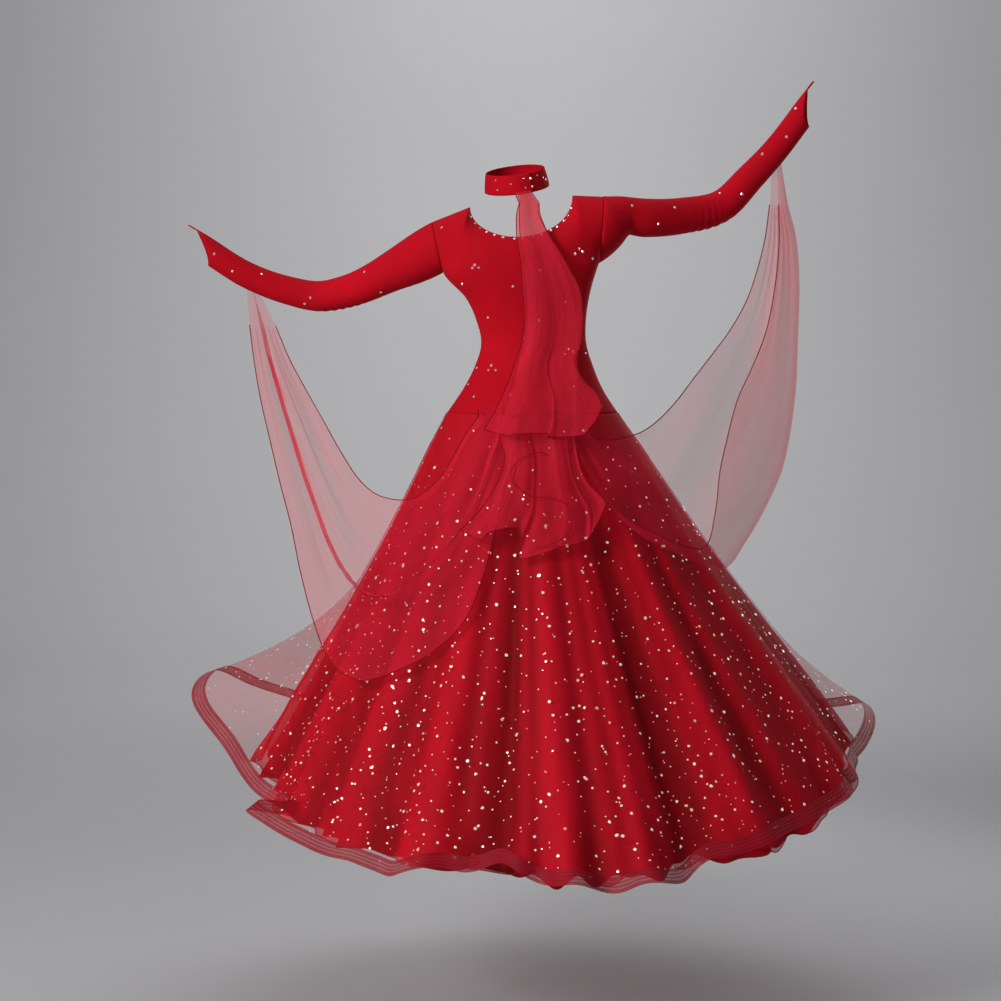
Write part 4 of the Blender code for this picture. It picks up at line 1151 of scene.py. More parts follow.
@dataclass
class Sleeve:
    """One fitted sleeve, drawn out to a point over the hand, with its finger loop."""

    torso: Torso
    side: Side
    path: Table
    blend: float
    rings: int = 130
    ease: float = 2.0
    hand_point: float = 0.052
    point_power: float = 1.5
    hand_start: float = 0.8
    look: float = 0.02
    armhole_gap: float = 0.0008
    wall: float = 0.0010
    hem: float = 0.0010
    loop_radius: float = 0.0095
    loop_cord: float = 0.0011
    seam: float = 0.0006
    seam_lift: float = 0.0002
    stitching: float = 0.0004
    elbow: float = 0.46
    elbow_spread: float = 0.07
    armpit: float = 0.10
    armpit_spread: float = 0.05
    wrinkle: float = 0.0012
    armpit_wrinkle: float = 0.35
    cut: Pair = (0.30, 0.56)
    area: float = 0.092

    def line(self) -> tuple[Array, Array, Array]:
        """The sleeve's path, from the middle of the armhole on.

        Returns:
            Centres and radii along it, the share of its length at each, and the armhole's ring.
        """
        ring = self.torso.armhole(self.side)
        start = ring.mean(axis=0)
        reach = np.linalg.norm(ring - start, axis=1).mean()
        rows = np.vstack([np.append(start, reach), numbers(self.path)])
        run = np.concatenate([[0], np.cumsum(np.linalg.norm(np.diff(rows[:, :3], axis=0), axis=1))])
        return rows, run / run[-1], ring

    def wrinkles(self, share: Array, turn: Array) -> Array:
        """Fine folds at the elbow and the armpit: sines along the sleeve times bells, gone at its top.

        Args:
            share: Shares of the sleeve's length.
            turn: Directions round it, 0 at its top.

        Returns:
            How far out the cloth lies.
        """
        elbow = np.sin(share * 190 + 2.0 * np.sin(turn + 9 * share))
        armpit = np.sin(share * 120 + 3 * np.sin(turn))
        folds = elbow * bell(share, self.elbow, self.elbow_spread)
        folds = folds + self.armpit_wrinkle * armpit * bell(share, self.armpit, self.armpit_spread)
        return self.wrinkle * folds * (1 - np.cos(turn)) / 2

    def grid(self) -> Array:
        """Rings centre + r*(cos(a)*up + sin(a)*back), eased from the armhole's shape to a point at the hand.

        Returns:
            One ring of points for each row.
        """
        rows, knots, ring = self.line()
        shares = np.linspace(0, 1, self.rings + 1)
        middle = flowing(shares, knots, rows)
        ahead = flowing(np.clip(shares + self.look, 0, 1), knots, rows)[:, :3]
        behind = flowing(np.clip(shares - self.look, 0, 1), knots, rows)[:, :3]
        along = unit(ahead - behind)
        out = unit(np.cross(along, np.array([0.0, 0.0, 1.0]))) * self.side.value
        up = unit(np.cross(out, along)) * self.side.value
        backward = -out * np.sign(out[:, 1:2])
        turn = round_turn(len(ring))[None, :]
        share = shares[:, None]
        reach = middle[:, 3:4] + self.wrinkles(share, turn)
        rounds = middle[:, None, :3] + reach[..., None] * circle(turn, up[:, None], backward[:, None])
        keep = ((1 - np.clip(shares / self.blend, 0, 1)) ** self.ease)[:, None, None]
        carried = ring[None] - rows[0, :3] + middle[:, None, :3]
        point = ((1 + np.cos(turn)) / 2) ** self.point_power
        drawn = point * smooth_step((share - self.hand_start) / (1 - self.hand_start))
        drawn = self.hand_point * drawn[..., None] * along[:, None]
        return carried * keep + rounds * (1 - keep) + drawn + self.armhole_gap * along[0]

    def lowest(self) -> tuple[Array, Array]:
        """The sleeve's lowest line and the way out from it."""
        grid = self.grid()
        return grid[:, self.torso.upper_rows], unit(grid[:, self.torso.upper_rows] - grid.mean(axis=1))

    def build(self, looks: Looks) -> Pieces:
        """Makes the sleeve, its hem, its underarm seam and its loop.

        Args:
            looks: The dress's materials.

        Returns:
            Every piece of it.
        """
        where = self.side.name.lower()
        grid = self.grid()
        sleeve = grid_mesh(f"sleeve_{where}_tube", grid, side=-self.side.value, closed=True)
        dress(sleeve, looks.jersey)
        thicken(sleeve, self.wall)
        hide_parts(f"sleeve_{where}")
        hem = dress(tube(f"sleeve_{where}_hem", grid[-1], self.hem, closed=True), looks.jersey)
        top = dress(tube(f"sleeve_{where}_armhole_seam", grid[0], self.stitching, closed=True), looks.thread)
        line, out = self.lowest()
        line = (line + out * self.seam_lift)[2:-1]
        seam = dress(tube(f"sleeve_{where}_seam", line, self.seam, sides=5), looks.thread)
        loop = dress(self.loop(grid, where), looks.jersey)
        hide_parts(f"finger_loop_{where}")
        return [sleeve, hem, top, seam, loop]

    def loop(self, grid: Array, where: str) -> Object:
        """The thin elastic loop: a ring of cord at the sleeve's point.

        Args:
            grid: The sleeve's points.
            where: The side's name.

        Returns:
            The loop.
        """
        tip = grid[-1, 0]
        along = unit(tip - grid[-6, 0])
        outward = unit(tip - grid[-1, self.torso.upper_rows])
        tube_way = np.cross(along, outward)
        centre = tip + along * self.loop_radius - outward * self.wall / 2
        ring = centre + self.loop_radius * circle(round_turn(48), along, tube_way)
        return tube(f"finger_loop_{where}_cord", ring, self.loop_cord, closed=True, sides=8)


@dataclass
class Collar:
    """The choker: a band that winds once round the neck and laps over its own start at the back."""

    centre: Triple = (-0.0055, 0.012, 0.0430)
    top_radius: float = 0.0530
    foot_radius: float = 0.0585
    tall: float = 0.034
    roll: float = math.radians(7.0)
    lean: float = math.radians(-13.0)
    overlap: float = math.radians(22.0)
    start: float = math.radians(4.0)
    rise: float = 0.9
    wall: float = 0.0020
    steps: int = 220
    rows: int = 15
    crown: float = 0.0007
    lap_gap: float = 0.0003
    edge: float = 0.0009
    stitching: float = 0.00035
    stitch_lift: float = 0.0001
    cut: Pair = (0.40, 0.034)

    def turned(self, points: Array) -> Array:
        """Points leaned about X and rolled about Y with the neck, and set at its place.

        Args:
            points: Points round the collar's own middle.

        Returns:
            The same points on the neck.
        """
        c, s = math.cos(self.lean), math.sin(self.lean)
        lean = np.array([[1, 0, 0], [0, c, s], [0, -s, c]])
        c, s = math.cos(self.roll), math.sin(self.roll)
        roll = np.array([[c, 0, -s], [0, 1, 0], [s, 0, c]])
        return points @ (roll @ lean).T + np.array(self.centre)

    def grid(self) -> tuple[Array, Array]:
        """A cone's band wound once and a bit; its last stretch rises by the cloth's thickness.

        Returns:
            Rows of points from the top edge down, and the direction of each column in degrees.
        """
        turn = np.linspace(0, 2 * math.pi + self.overlap, self.steps + 1)
        lap = smooth_step((turn - 2 * math.pi) / self.rise + 1) * (self.wall + self.lap_gap)
        way = self.start + turn
        share = np.linspace(0, 1, self.rows)[:, None]
        reach = self.top_radius + (self.foot_radius - self.top_radius) * share + lap
        reach = reach + self.crown * np.sin(math.pi * share)
        height = self.tall * (0.5 - share) + 0 * way
        points = np.stack([reach * np.sin(way), -reach * np.cos(way), height], axis=-1)
        return self.turned(points), np.degrees(way)

    def foot(self, first: float, last: float, count: int) -> tuple[Array, Array, Array]:
        """The foot of the band's last stretch, between two directions past the back.

        Args:
            first: First direction, in degrees past a full turn.
            last: Last direction.
            count: The number of points.

        Returns:
            Points at the foot, the way out and the way down at each.
        """
        grid, way = self.grid()
        facing = grid_normals(grid, -1)
        # the band passes the back twice, and this is the second time
        late = way > 300.0
        want = 360 + np.linspace(first, last, count)
        foot, above, out = (
            along_line(want, way[late], part[late]) for part in (grid[-1], grid[-4], facing[-1])
        )
        return foot, unit(out), unit(foot - above)

    def build(self, looks: Looks) -> Pieces:
        """Makes the band and the turned edge round it.

        Args:
            looks: The dress's materials.

        Returns:
            Every piece of it.
        """
        grid, _ = self.grid()
        band = dress(grid_mesh("collar_band", grid, side=1), looks.jersey)
        thicken(band, self.wall * 0.8)
        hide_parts("collar")
        border = np.concatenate([grid[0, :-1], grid[:-1, -1], grid[-1, :0:-1], grid[:0:-1, 0]])
        edge = dress(tube("collar_edge", border, self.edge, closed=True), looks.jersey)
        lifted = grid + grid_normals(grid, -1) * self.stitch_lift
        line = np.concatenate([lifted[2], lifted[-3, ::-1]])
        stitch = dress(tube("collar_stitching", line, self.stitching, sides=5), looks.thread)
        return [band, edge, stitch]


@dataclass
class Skirt:
    """Three layers that leave the hip seam and open in folds, each in a back and a front half."""

    torso: Torso
    full_drop: float = 0.755
    hem_axis: float = 0.060
    seam_gap: float = 0.0003
    underskirt_flare: float = 1.06
    least_lift: float = 0.030
    lift_power: float = 2.0
    lift_power_by_size: float = 24.0
    most_lift_power: float = 5.8
    layer_step: float = 0.0015
    layer_room: float = 0.0030
    layer_room_drop: float = 0.060
    middle_share: float = 0.30
    middle_most: float = 0.020
    middle_rise: float = 0.006
    fold_gain: float = 1.25
    fold_narrowing: float = 0.86
    fold_power: float = 1.8
    fold_mean: float = 0.011
    fold_growth: float = 1.25
    ripple: float = 0.0034
    ruffle: float = 0.0090
    ruffle_waves: dict[Layer, tuple[int, int]] = kept(
        {Layer.UNDERSKIRT: (31, 53), Layer.MIDDLE: (25, 41)}
    )
    ruffle_start: float = 0.86
    ruffle_rise: float = 0.0085
    shift_start: float = 0.25
    shift_power: float = 1.5
    flute: float = 0.011
    flutes: float = 23.0
    flute_power: float = 7.0
    flute_rise: float = 0.8
    braid_wide: float = 0.028
    braid_off: float = 0.0010
    wall: float = 0.0008
    rolled: float = 0.0009
    braid_rows: int = 9
    # the valley measure that paints shade into the skirt's colour is smoothed over this many columns and
    # scaled by this depth
    valley_shade_window: int = 24
    valley_shade_depth: float = 0.016
    seam_bunch: float = 1.2
    seam_bunch_fade: float = 2.6
    columns: int = 420
    rows: int = 84
    row_power: float = 0.85
    underskirt_hem: Table = kept(UNDERSKIRT_HEM)
    outer_hem: Table = kept(OUTER_HEM)
    folds: Table = kept(SKIRT_FOLDS)
    cuts: dict[Layer, Triple] = kept(
        {
            Layer.UNDERSKIRT: (1.72, 0.86, 0.80),
            Layer.MIDDLE: (1.76, 0.86, 0.86),
            Layer.OUTER: (1.90, 0.90, 0.92),
        }
    )

    def fold_field(self, direction: Array) -> Array:
        """The folds at full growth: each fold's h*exp(-|away/width|^power), with finer ripples.

        Args:
            direction: Directions round the skirt.

        Returns:
            How far out the cloth stands at each.
        """
        total = np.full(np.shape(direction), -self.fold_mean)
        for fold in self.folds:
            away = (direction - fold.direction + 180) % 360 - 180
            near = np.exp(-((np.abs(away) / (self.fold_narrowing * fold.width)) ** self.fold_power))
            total = total + self.fold_gain * fold.height * near
        turn = np.radians(direction)
        fine = np.sin(37 * turn + 1.1 * np.sin(5 * turn))
        fine = fine + 0.6 * np.sin(59 * turn + 2.0 + 1.6 * np.sin(3 * turn))
        return total + self.ripple * fine

    def folds_at(self, layer: Layer, direction: Array, drop: Array) -> Array:
        """A layer's folds, which grow as drop^growth."""
        return self.fold_field(direction) * layer.value * (drop / self.full_drop) ** self.fold_growth

    def axis(self, drop: Array) -> Array:
        """x of the middle of the level section at a drop below the hip seam."""
        start = float(self.torso.section(np.array(self.torso.seam_height))[0])
        return start + (self.hem_axis - start) * drop / self.full_drop

    def seam_reach(self, direction: Array) -> Array:
        """The hip seam's ellipse as a distance from its middle: 1/sqrt((sin/a)^2 + (cos/b)^2).

        Args:
            direction: Directions round the skirt.

        Returns:
            The distance at each.
        """
        _, half, back, front = self.torso.section(np.array(self.torso.seam_height))
        angle = np.radians(direction)
        deep = np.where(np.cos(angle) > 0, back, front)
        return 1 / np.sqrt((np.sin(angle) / half) ** 2 + (np.cos(angle) / deep) ** 2)

    def under(self, direction: Array, drop: Array) -> tuple[Array, Array]:
        """The underskirt before folds.

        Args:
            direction: Directions round the skirt.
            drop: Drops below the hip seam.

        Returns:
            Its reach at each place, and the drop of its hem.
        """
        hem = self.underskirt_hem
        values = np.stack([hem.reach, hem.drop], axis=-1)
        reach, full = np.moveaxis(flowing(direction, hem.direction, values, period=360.0), -1, 0)
        start = self.seam_reach(direction)
        return start + (reach - start) * np.maximum(drop / full, 0) ** self.underskirt_flare, full

    def room(self, drop: Array) -> Array:
        """Distance from one layer to the next."""
        return self.layer_step + self.layer_room * np.clip(drop / self.layer_room_drop, 0, 1)

    def outer(self, turn: Array, share: Array) -> Array:
        """The outer layer: underskirt + folds + lift*share^power, which ends at the hem's own reach.

        Args:
            turn: Places round the cloth, in degrees.
            share: Shares of the way from the hip seam to the hem.

        Returns:
            Points in space.
        """
        hem = self.outer_hem
        shift = hem.direction - hem.turn
        values = np.stack([shift, hem.reach, hem.drop, hem.own], axis=-1)
        shift, reach, full, own = np.moveaxis(flowing(turn, hem.turn, values, period=360.0), -1, 0)
        own = np.clip(own, 0, 1)
        late = smooth_step((share - self.shift_start) / (1 - self.shift_start))
        direction = turn + shift * late**self.shift_power
        drop = full * share
        hem_under, _ = self.under(turn + shift, full)
        hem_folds = self.folds_at(Layer.OUTER, turn + shift, full)
        at_hem = reach - hem_under - own * (hem_folds + 2 * self.room(full))
        at_hem = np.maximum(at_hem, self.least_lift * (1 - 0.5 * own))
        power = np.minimum(self.lift_power + self.lift_power_by_size * at_hem, self.most_lift_power)
        flute = (1 - own) * share**self.flute_power * self.flute
        flute = flute * np.sin(np.radians(turn * self.flutes) + 1.5 * np.sin(np.radians(5 * turn)))
        drop = drop - flute * self.flute_rise
        base, _ = self.under(direction, drop)
        folds = self.folds_at(Layer.OUTER, direction, drop)
        reach = base + folds + 2 * self.room(drop) + at_hem * share**power + flute
        return self.placed(direction, reach, drop)

    def inner(self, layer: Layer, direction: Array, share: Array) -> Array:
        """The underskirt or the middle layer, its hem ruffled by r*(sin(n*turn) + 0.6*sin(m*turn)).

        Args:
            layer: Which of the two.
            direction: Directions round the skirt.
            share: Shares of the way from the hip seam to the hem.

        Returns:
            Points in space.
        """
        _, full = self.under(direction, np.zeros_like(direction))
        turn = np.radians(direction)
        many, more = self.ruffle_waves[layer]
        uneven = 1.7 * np.sin(7 * turn)
        wave = np.sin(many * turn + uneven) + 0.6 * np.sin(more * turn + 2.1 * np.sin(4 * turn))
        swing = np.cos(many * turn + 0.8 + uneven) + 0.5 * np.cos(more * turn)
        edge = smooth_step((share - self.ruffle_start) / (1 - self.ruffle_start))
        edge = edge * (0.35 + 0.85 * np.sin(2.5 * turn + 1.2 * np.sin(3 * turn) + 0.4) ** 2)
        if layer is Layer.MIDDLE:
            full = full - self.middle_rise
        full = full + self.ruffle_rise * swing * (0.6 + 0.4 * np.sin(3 * turn + 1.0))
        drop = full * share
        base, _ = self.under(direction, drop)
        reach = base + self.folds_at(layer, direction, drop) + self.ruffle * wave * edge
        if layer is Layer.MIDDLE:
            hem = self.outer_hem
            out = flowing(direction, hem.turn, hem.reach, period=360.0) - base
            reach = reach + self.room(drop) + np.clip(self.middle_share * out * share**4, 0, self.middle_most)
        return self.placed(direction, reach, drop)

    def placed(self, direction: Array, reach: Array, drop: Array) -> Array:
        """Points in space: x = axis + reach*sin(direction), y = -reach*cos(direction).

        Args:
            direction: Directions round the skirt.
            reach: Distances from its axis.
            drop: Drops below the hip seam.

        Returns:
            One point for each.
        """
        angle = np.radians(direction)
        x, y = self.axis(drop) + reach * np.sin(angle), -reach * np.cos(angle)
        height = self.torso.seam_height - self.seam_gap - drop
        return np.stack(np.broadcast_arrays(x, y, height), -1)

    def grid(self, layer: Layer, face: Face) -> Array:
        """One half of a layer.

        Args:
            layer: The layer.
            face: The half.

        Returns:
            Rows of points from the hip seam to the hem.
        """
        middle = 0.0 if face is Face.BACK else 180.0
        turn = middle + np.linspace(-90, 90, self.columns + 1)
        turn = (turn + 180) % 360 - 180 if face is Face.BACK else turn
        share = np.linspace(0, 1, self.rows + 1) ** self.row_power
        turn, share = np.broadcast_arrays(turn[None, :], share[:, None])
        grid = self.outer(turn, share) if layer is Layer.OUTER else self.inner(layer, turn, share)
        grid[..., 1] += face.value * self.torso.side_gap
        return grid

    def build(self, looks: Looks) -> Pieces:
        """Makes the three layers, their rolled edges and the hem braid.

        Args:
            looks: The dress's materials.

        Returns:
            Every piece of it.
        """
        made = []
        nodes = {Layer.UNDERSKIRT: "underskirt", Layer.MIDDLE: "middle_skirt", Layer.OUTER: "outer_skirt"}
        for layer, node in nodes.items():
            for face in Face:
                where = face.name.lower()
                grid = self.grid(layer, face)
                half = dress(grid_mesh(f"{node}_{where}_half", grid, side=1), looks.skirt[layer])
                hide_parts(f"{node}_{where}")
                # the valley measure, by which each layer's material paints shade between the folds
                keep_number(half, "valley_shade", self.valley_shade(grid))
                down = np.linspace(0, 1, len(grid))[:, None] + 0 * grid[..., 0]
                gathered = 1 - smooth_step(self.seam_bunch_fade * down)
                keep_number(half, "bunch", self.seam_bunch * gathered)
                if layer is Layer.UNDERSKIRT:
                    thicken(half, self.wall)
                if layer is Layer.OUTER:
                    trim = self.hem_braid(grid, where, looks.braid)
                else:
                    trim = tube(f"{node}_{where}_rolled_hem", grid[-1], self.rolled, sides=5)
                    dress(trim, looks.thread)
                made += [half, trim]
        return made

    def valley_shade(self, grid: Array) -> Array:
        """How deep each point lies in a valley between folds: 0.5 + (mean reach - reach)/(2*depth); the
        skirt's materials paint shade by it.

        Args:
            grid: A layer's points.

        Returns:
            0 on a ridge, 0.5 on even cloth and 1 in a valley.
        """
        reach = np.hypot(grid[..., 0] - self.axis(self.torso.seam_height - grid[..., 2]), grid[..., 1])
        down = np.linspace(0, 1, len(grid))[:, None]
        depth = self.valley_shade_depth * (0.3 + 0.7 * down)
        valley_shade = np.clip(0.5 + (smoothed(reach, self.valley_shade_window) - reach) / (2 * depth), 0, 1)
        # near the hip seam every point is held at half depth, so the top of the skirt takes some painted
        # shade too
        return 0.5 + smooth_step(5 * down) * (valley_shade - 0.5)

    def hem_braid(self, grid: Array, where: str, braid: Material) -> Object:
        """The band sewn over the last stretch of the outer layer, its rows laid off the cloth.

        Args:
            grid: The outer layer's points.
            where: The half's name.
            braid: The band's material.

        Returns:
            The band, with how close each point is to an edge kept on it.
        """
        laid = (grid + grid_normals(grid, -1) * self.braid_off)[::-1]
        length = running(grid[::-1], 0)
        want = np.linspace(self.braid_wide, 0.0, self.braid_rows)
        band = np.stack([along_line(want, length[:, k], laid[:, k]) for k in range(grid.shape[1])], axis=1)
        piece = dress(grid_mesh(f"hem_braid_{where}_band", band, side=1), braid)
        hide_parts(f"hem_braid_{where}")
        edge = np.abs(np.linspace(-1, 1, self.braid_rows)) ** 6
        keep_number(piece, "edge", np.repeat(edge[:, None], grid.shape[1], axis=1))
        return piece


@dataclass
class Standoff:
    """How far the dress reaches from its own axis, by direction and height, for what lies over it."""

    torso: Torso
    skirt: Skirt
    levels: int = 110
    bins: int = 180
    window: int = 3

    def __post_init__(self) -> None:
        """Reads the outer layer at fixed heights and keeps the furthest reach in each direction."""
        grid = np.concatenate([self.skirt.grid(Layer.OUTER, face) for face in Face], axis=1)
        self.low = float(grid[..., 2].min())
        self.high = self.torso.seam_height
        self.top = float(self.torso.sections.height[-1])
        self.heights = np.linspace(self.low, self.high, self.levels)
        reach = np.zeros((self.levels, self.bins))
        for column in np.moveaxis(grid, 1, 0)[:, ::-1]:
            x, y = (np.interp(self.heights, column[:, 2], column[:, k]) for k in (0, 1))
            x = x - self.skirt.axis(self.high - self.heights)
            spot = self.spot(np.arctan2(x, -y)).astype(int) % self.bins
            np.maximum.at(reach, (np.arange(self.levels), spot), np.hypot(x, y))
        shifts = range(-self.window, self.window + 1)
        self.reach = np.max([np.roll(reach, shift, axis=1) for shift in shifts], axis=0)

    def spot(self, angle: Array) -> Array:
        """Place of a direction among the bins."""
        return (angle / (2 * math.pi) + 0.5) * self.bins

    def clear(self, points: Array, off: Array | float, where: Array | bool = True) -> Array:
        """The same points, those nearer to the dress than `off` moved straight out to that distance.

        Args:
            points: Points in space.
            off: The distance that they keep.
            where: Which of them may move.

        Returns:
            The points after the move.
        """
        x, y, z = np.moveaxis(points, -1, 0)
        above = z > self.high
        centre, half, _, _ = self.torso.section(np.clip(z, self.high, self.top))
        middle = np.where(above, centre, self.skirt.axis(np.maximum(self.high - z, 0.0)))
        away = np.hypot(x - middle, y)
        angle = np.arctan2(x - middle, -y)
        level = np.clip((z - self.low) / (self.high - self.low), 0, 1) * (self.levels - 1)
        spot = self.spot(angle) - 0.5
        i, j = np.minimum(level.astype(int), self.levels - 2), np.floor(spot).astype(int)
        s, t = level - i, spot - j
        j, after = j % self.bins, (j + 1) % self.bins
        lower, upper = (self.reach[row, j] * (1 - t) + self.reach[row, after] * t for row in (i, i + 1))
        need = (lower * (1 - s) + upper * s + off) / np.maximum(away, 1e-6)
        grow = np.where(where & ~above, np.maximum(need, 1.0), 1.0)
        x, y = middle + (x - middle) * grow, y * grow
        u = np.arcsin(np.clip((x - middle) / half, -1, 1)) * 2 / math.pi
        behind = self.torso.depth(Face.BACK, u, np.maximum(z, self.high)) + off
        y = np.where(where & above & (np.abs(x - middle) < half), np.minimum(y, -behind), y)
        return np.stack([x, y, z], axis=-1)


def outline(grid: Array) -> Array:
    """The free border of a grid: down its first column, along its last row and up its last column."""
    return np.concatenate([grid[:, 0], grid[-1, 1:-1], grid[::-1, -1]])


@dataclass
class Wing:
    """One sheer wing, from under the sleeve to the back of the hip seam, with rolled edges."""

    torso: Torso
    sleeve: Sleeve
    standoff: Standoff
    side: Side
    stations: Table
    sleeve_seat: Pair
    back_seat: Pair
    waves: float
    wave: float
    cut: Pair
    area: float
    pleat_wide: float = 0.0
    pleat_at: float = 0.56
    pleat_play: float = 0.07
    pleat_turns: float = 1.1
    pleat_start: float = 0.08
    pleat_off: float = 0.0028
    across: int = 84
    along: int = 130
    drift: float = 1.1
    crease: float = 0.0016
    clearance: float = 0.0075
    fold_radius: float = 0.0045
    fold_steps: int = 26
    fold_turns: int = 7
    flap_swell: float = 0.0035
    flap_at_sleeve: float = 0.0009
    flap_spread: float = 0.009
    flap_along_sleeve: float = 0.5
    flap_along_hip: float = 1.0 / 6.0
    flap_at_hip: float = 0.005
    seat_gap: float = 0.0012
    edge: float = 0.0010

    def spread(self, run: Array, across: Array, width: Array) -> tuple[Array, Array]:
        """Lays a pleat along the cloth: place = v - a*sin(pi*t), lift = tanh(4t), for t from -1 to 1.

        Args:
            run: Shares of the way along the wing.
            across: Shares of the way across it.
            width: Its width at each share of the way along.

        Returns:
            Where each column lies across, and how far it is lifted off the cloth.
        """
        if not self.pleat_wide:
            return across + 0 * run, 0 * (across + run)
        sway = np.sin(2 * math.pi * (run * self.pleat_turns - self.pleat_start))
        line = self.pleat_at + self.pleat_play * sway
        wide = self.pleat_wide / width
        t = np.clip((across - line) / (1.15 * wide), -1, 1)
        place = across - 1.05 * wide * np.sin(math.pi * t) * (1 - t**2)
        return place, -self.pleat_off * np.tanh(4 * t) * (1 - t**2) ** 2

    def sheet(self) -> Array:
        """The wing between its seats: upper + (lower - upper)*v, swelling in slow waves and fine creases.

        Returns:
            Rows of points across the wing.
        """
        stations = numbers(self.stations)
        run = np.linspace(0, 1, self.along)[:, None]
        rows = flowing(run[:, 0], np.linspace(0, 1, len(stations)), stations)
        across = np.linspace(0, 1, self.across + 1)[None, :]
        upper, lower = rows[:, None, 0:3], rows[:, None, 3:6]
        width = np.linalg.norm(lower - upper, axis=-1)
        place, lift = self.spread(run, across, width)
        sheet = upper + (lower - upper) * place[..., None]
        swell = np.sin(math.pi * run) * np.sin(math.pi * across)
        slow = self.wave * np.sin(2 * math.pi * (self.waves * across - self.drift * run)) * swell
        gather = 0.35 + 0.65 * np.abs(2 * run - 1) ** 2
        fine = np.sin(2 * math.pi * (9.3 * across + 0.6 * run))
        fine = fine + 0.6 * np.sin(2 * math.pi * (15.7 * across - 0.9 * run))
        fade = np.sin(math.pi * across) ** 0.5 * np.sin(math.pi * np.clip(run * 1.4, 0, 1)) ** 0.3
        sheet[..., 1] += slow + self.crease * gather * fine * fade - lift
        if self.side is Side.LEFT:
            return sheet
        return np.concatenate([sheet, *self.flap(rows[:, None, 3:6], rows[:, None, 6:9], run)], axis=1)

    def flap(self, lower: Array, folded: Array, run: Array) -> list[Array]:
        """The part that folds back: half a turn of the cloth, then a sheet that swells as sin(pi*t).

        Args:
            lower: The lower edge, where it folds.
            folded: The free edge of what folds back.
            run: Shares of the way along the wing.

        Returns:
            Columns of points, from the fold on.
        """
        bend = unit(lower - folded)
        turns = [
            lower + self.fold_radius * (bend * math.sin(angle) + BACKWARD * (1 - math.cos(angle)))
            for angle in np.linspace(0, math.pi, self.fold_turns + 2)[1:-1]
        ]
        steps = np.linspace(0, 1, self.fold_steps + 1)[None, :, None]
        flap = lower + BACKWARD * 2 * self.fold_radius + (folded - lower) * steps
        swell = np.sin(math.pi * steps) * np.sin(14 * run + 3 * steps[..., 0])[..., None] ** 2
        return [*turns, flap + BACKWARD * self.flap_swell * swell]

    def seats(self) -> tuple[Array, Array, Array]:
        """Where the wing is sewn: along the sleeve's lowest line, and twice near the hip seam.

        Returns:
            The row at the sleeve, the bend just above the hip seam, and the last row on it.
        """
        count = self.across + 1
        line, out = self.sleeve.lowest()
        order = np.argsort(line[:, 0])
        want = np.linspace(*self.sleeve_seat, count)
        top, under = (along_line(want, line[order, 0], part[order]) for part in (line, out))
        panel = self.torso.panel(Face.BACK)
        normals = grid_normals(panel, 1)
        want = np.linspace(*self.back_seat, count)
        ends = []
        for row, off in ((1, self.seat_gap + self.clearance), (4, self.seat_gap)):
            spot, way = (along_line(want, panel[row, :, 0], part[row]) for part in (panel, normals))
            ends.append(spot + unit(way) * off)
        return top + under * self.seat_gap, ends[0], ends[1]

    def grid(self) -> Array:
        """The whole wing, kept clear of the dress, with its first and last rows at the seats.

        Returns:
            Rows of points across the wing, from the sleeve to the hip.
        """
        rows = self.standoff.clear(self.sheet(), self.clearance)
        top, bend, end = self.seats()
        if self.side is Side.RIGHT:
            lift = np.linspace(0, 1, rows.shape[1] - self.across - 1)[:, None]
            behind = BACKWARD * (self.flap_at_sleeve + self.flap_spread * lift)
            top = np.concatenate([top, top[-1] + (top[0] - top[-1]) * lift * self.flap_along_sleeve + behind])
            aside = (end[0] - end[-1]) * lift * self.flap_along_hip + BACKWARD * self.flap_at_hip
            end, bend = (np.concatenate([row, row[-1] + aside]) for row in (end, bend))
        return np.concatenate([top[None], rows, bend[None], end[None]])

    def build(self, looks: Looks) -> Pieces:
        """Makes the wing and its rolled edges.

        Args:
            looks: The dress's materials.

        Returns:
            Every piece of it.
        """
        where = self.side.name.lower()
        grid = self.grid()
        cloth = dress(grid_mesh(f"wing_{where}_cloth", grid, side=self.side.value), looks.organza)
        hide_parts(f"wing_{where}")
        keep_number(cloth, "bunch", bunching(grid))
        edges = [
            dress(tube(f"wing_{where}_{edge}_rolled_edge", grid[1:-1, column], self.edge), looks.thread)
            for edge, column in (("upper", 0), ("lower", -1))
        ]
        return [cloth, *edges]


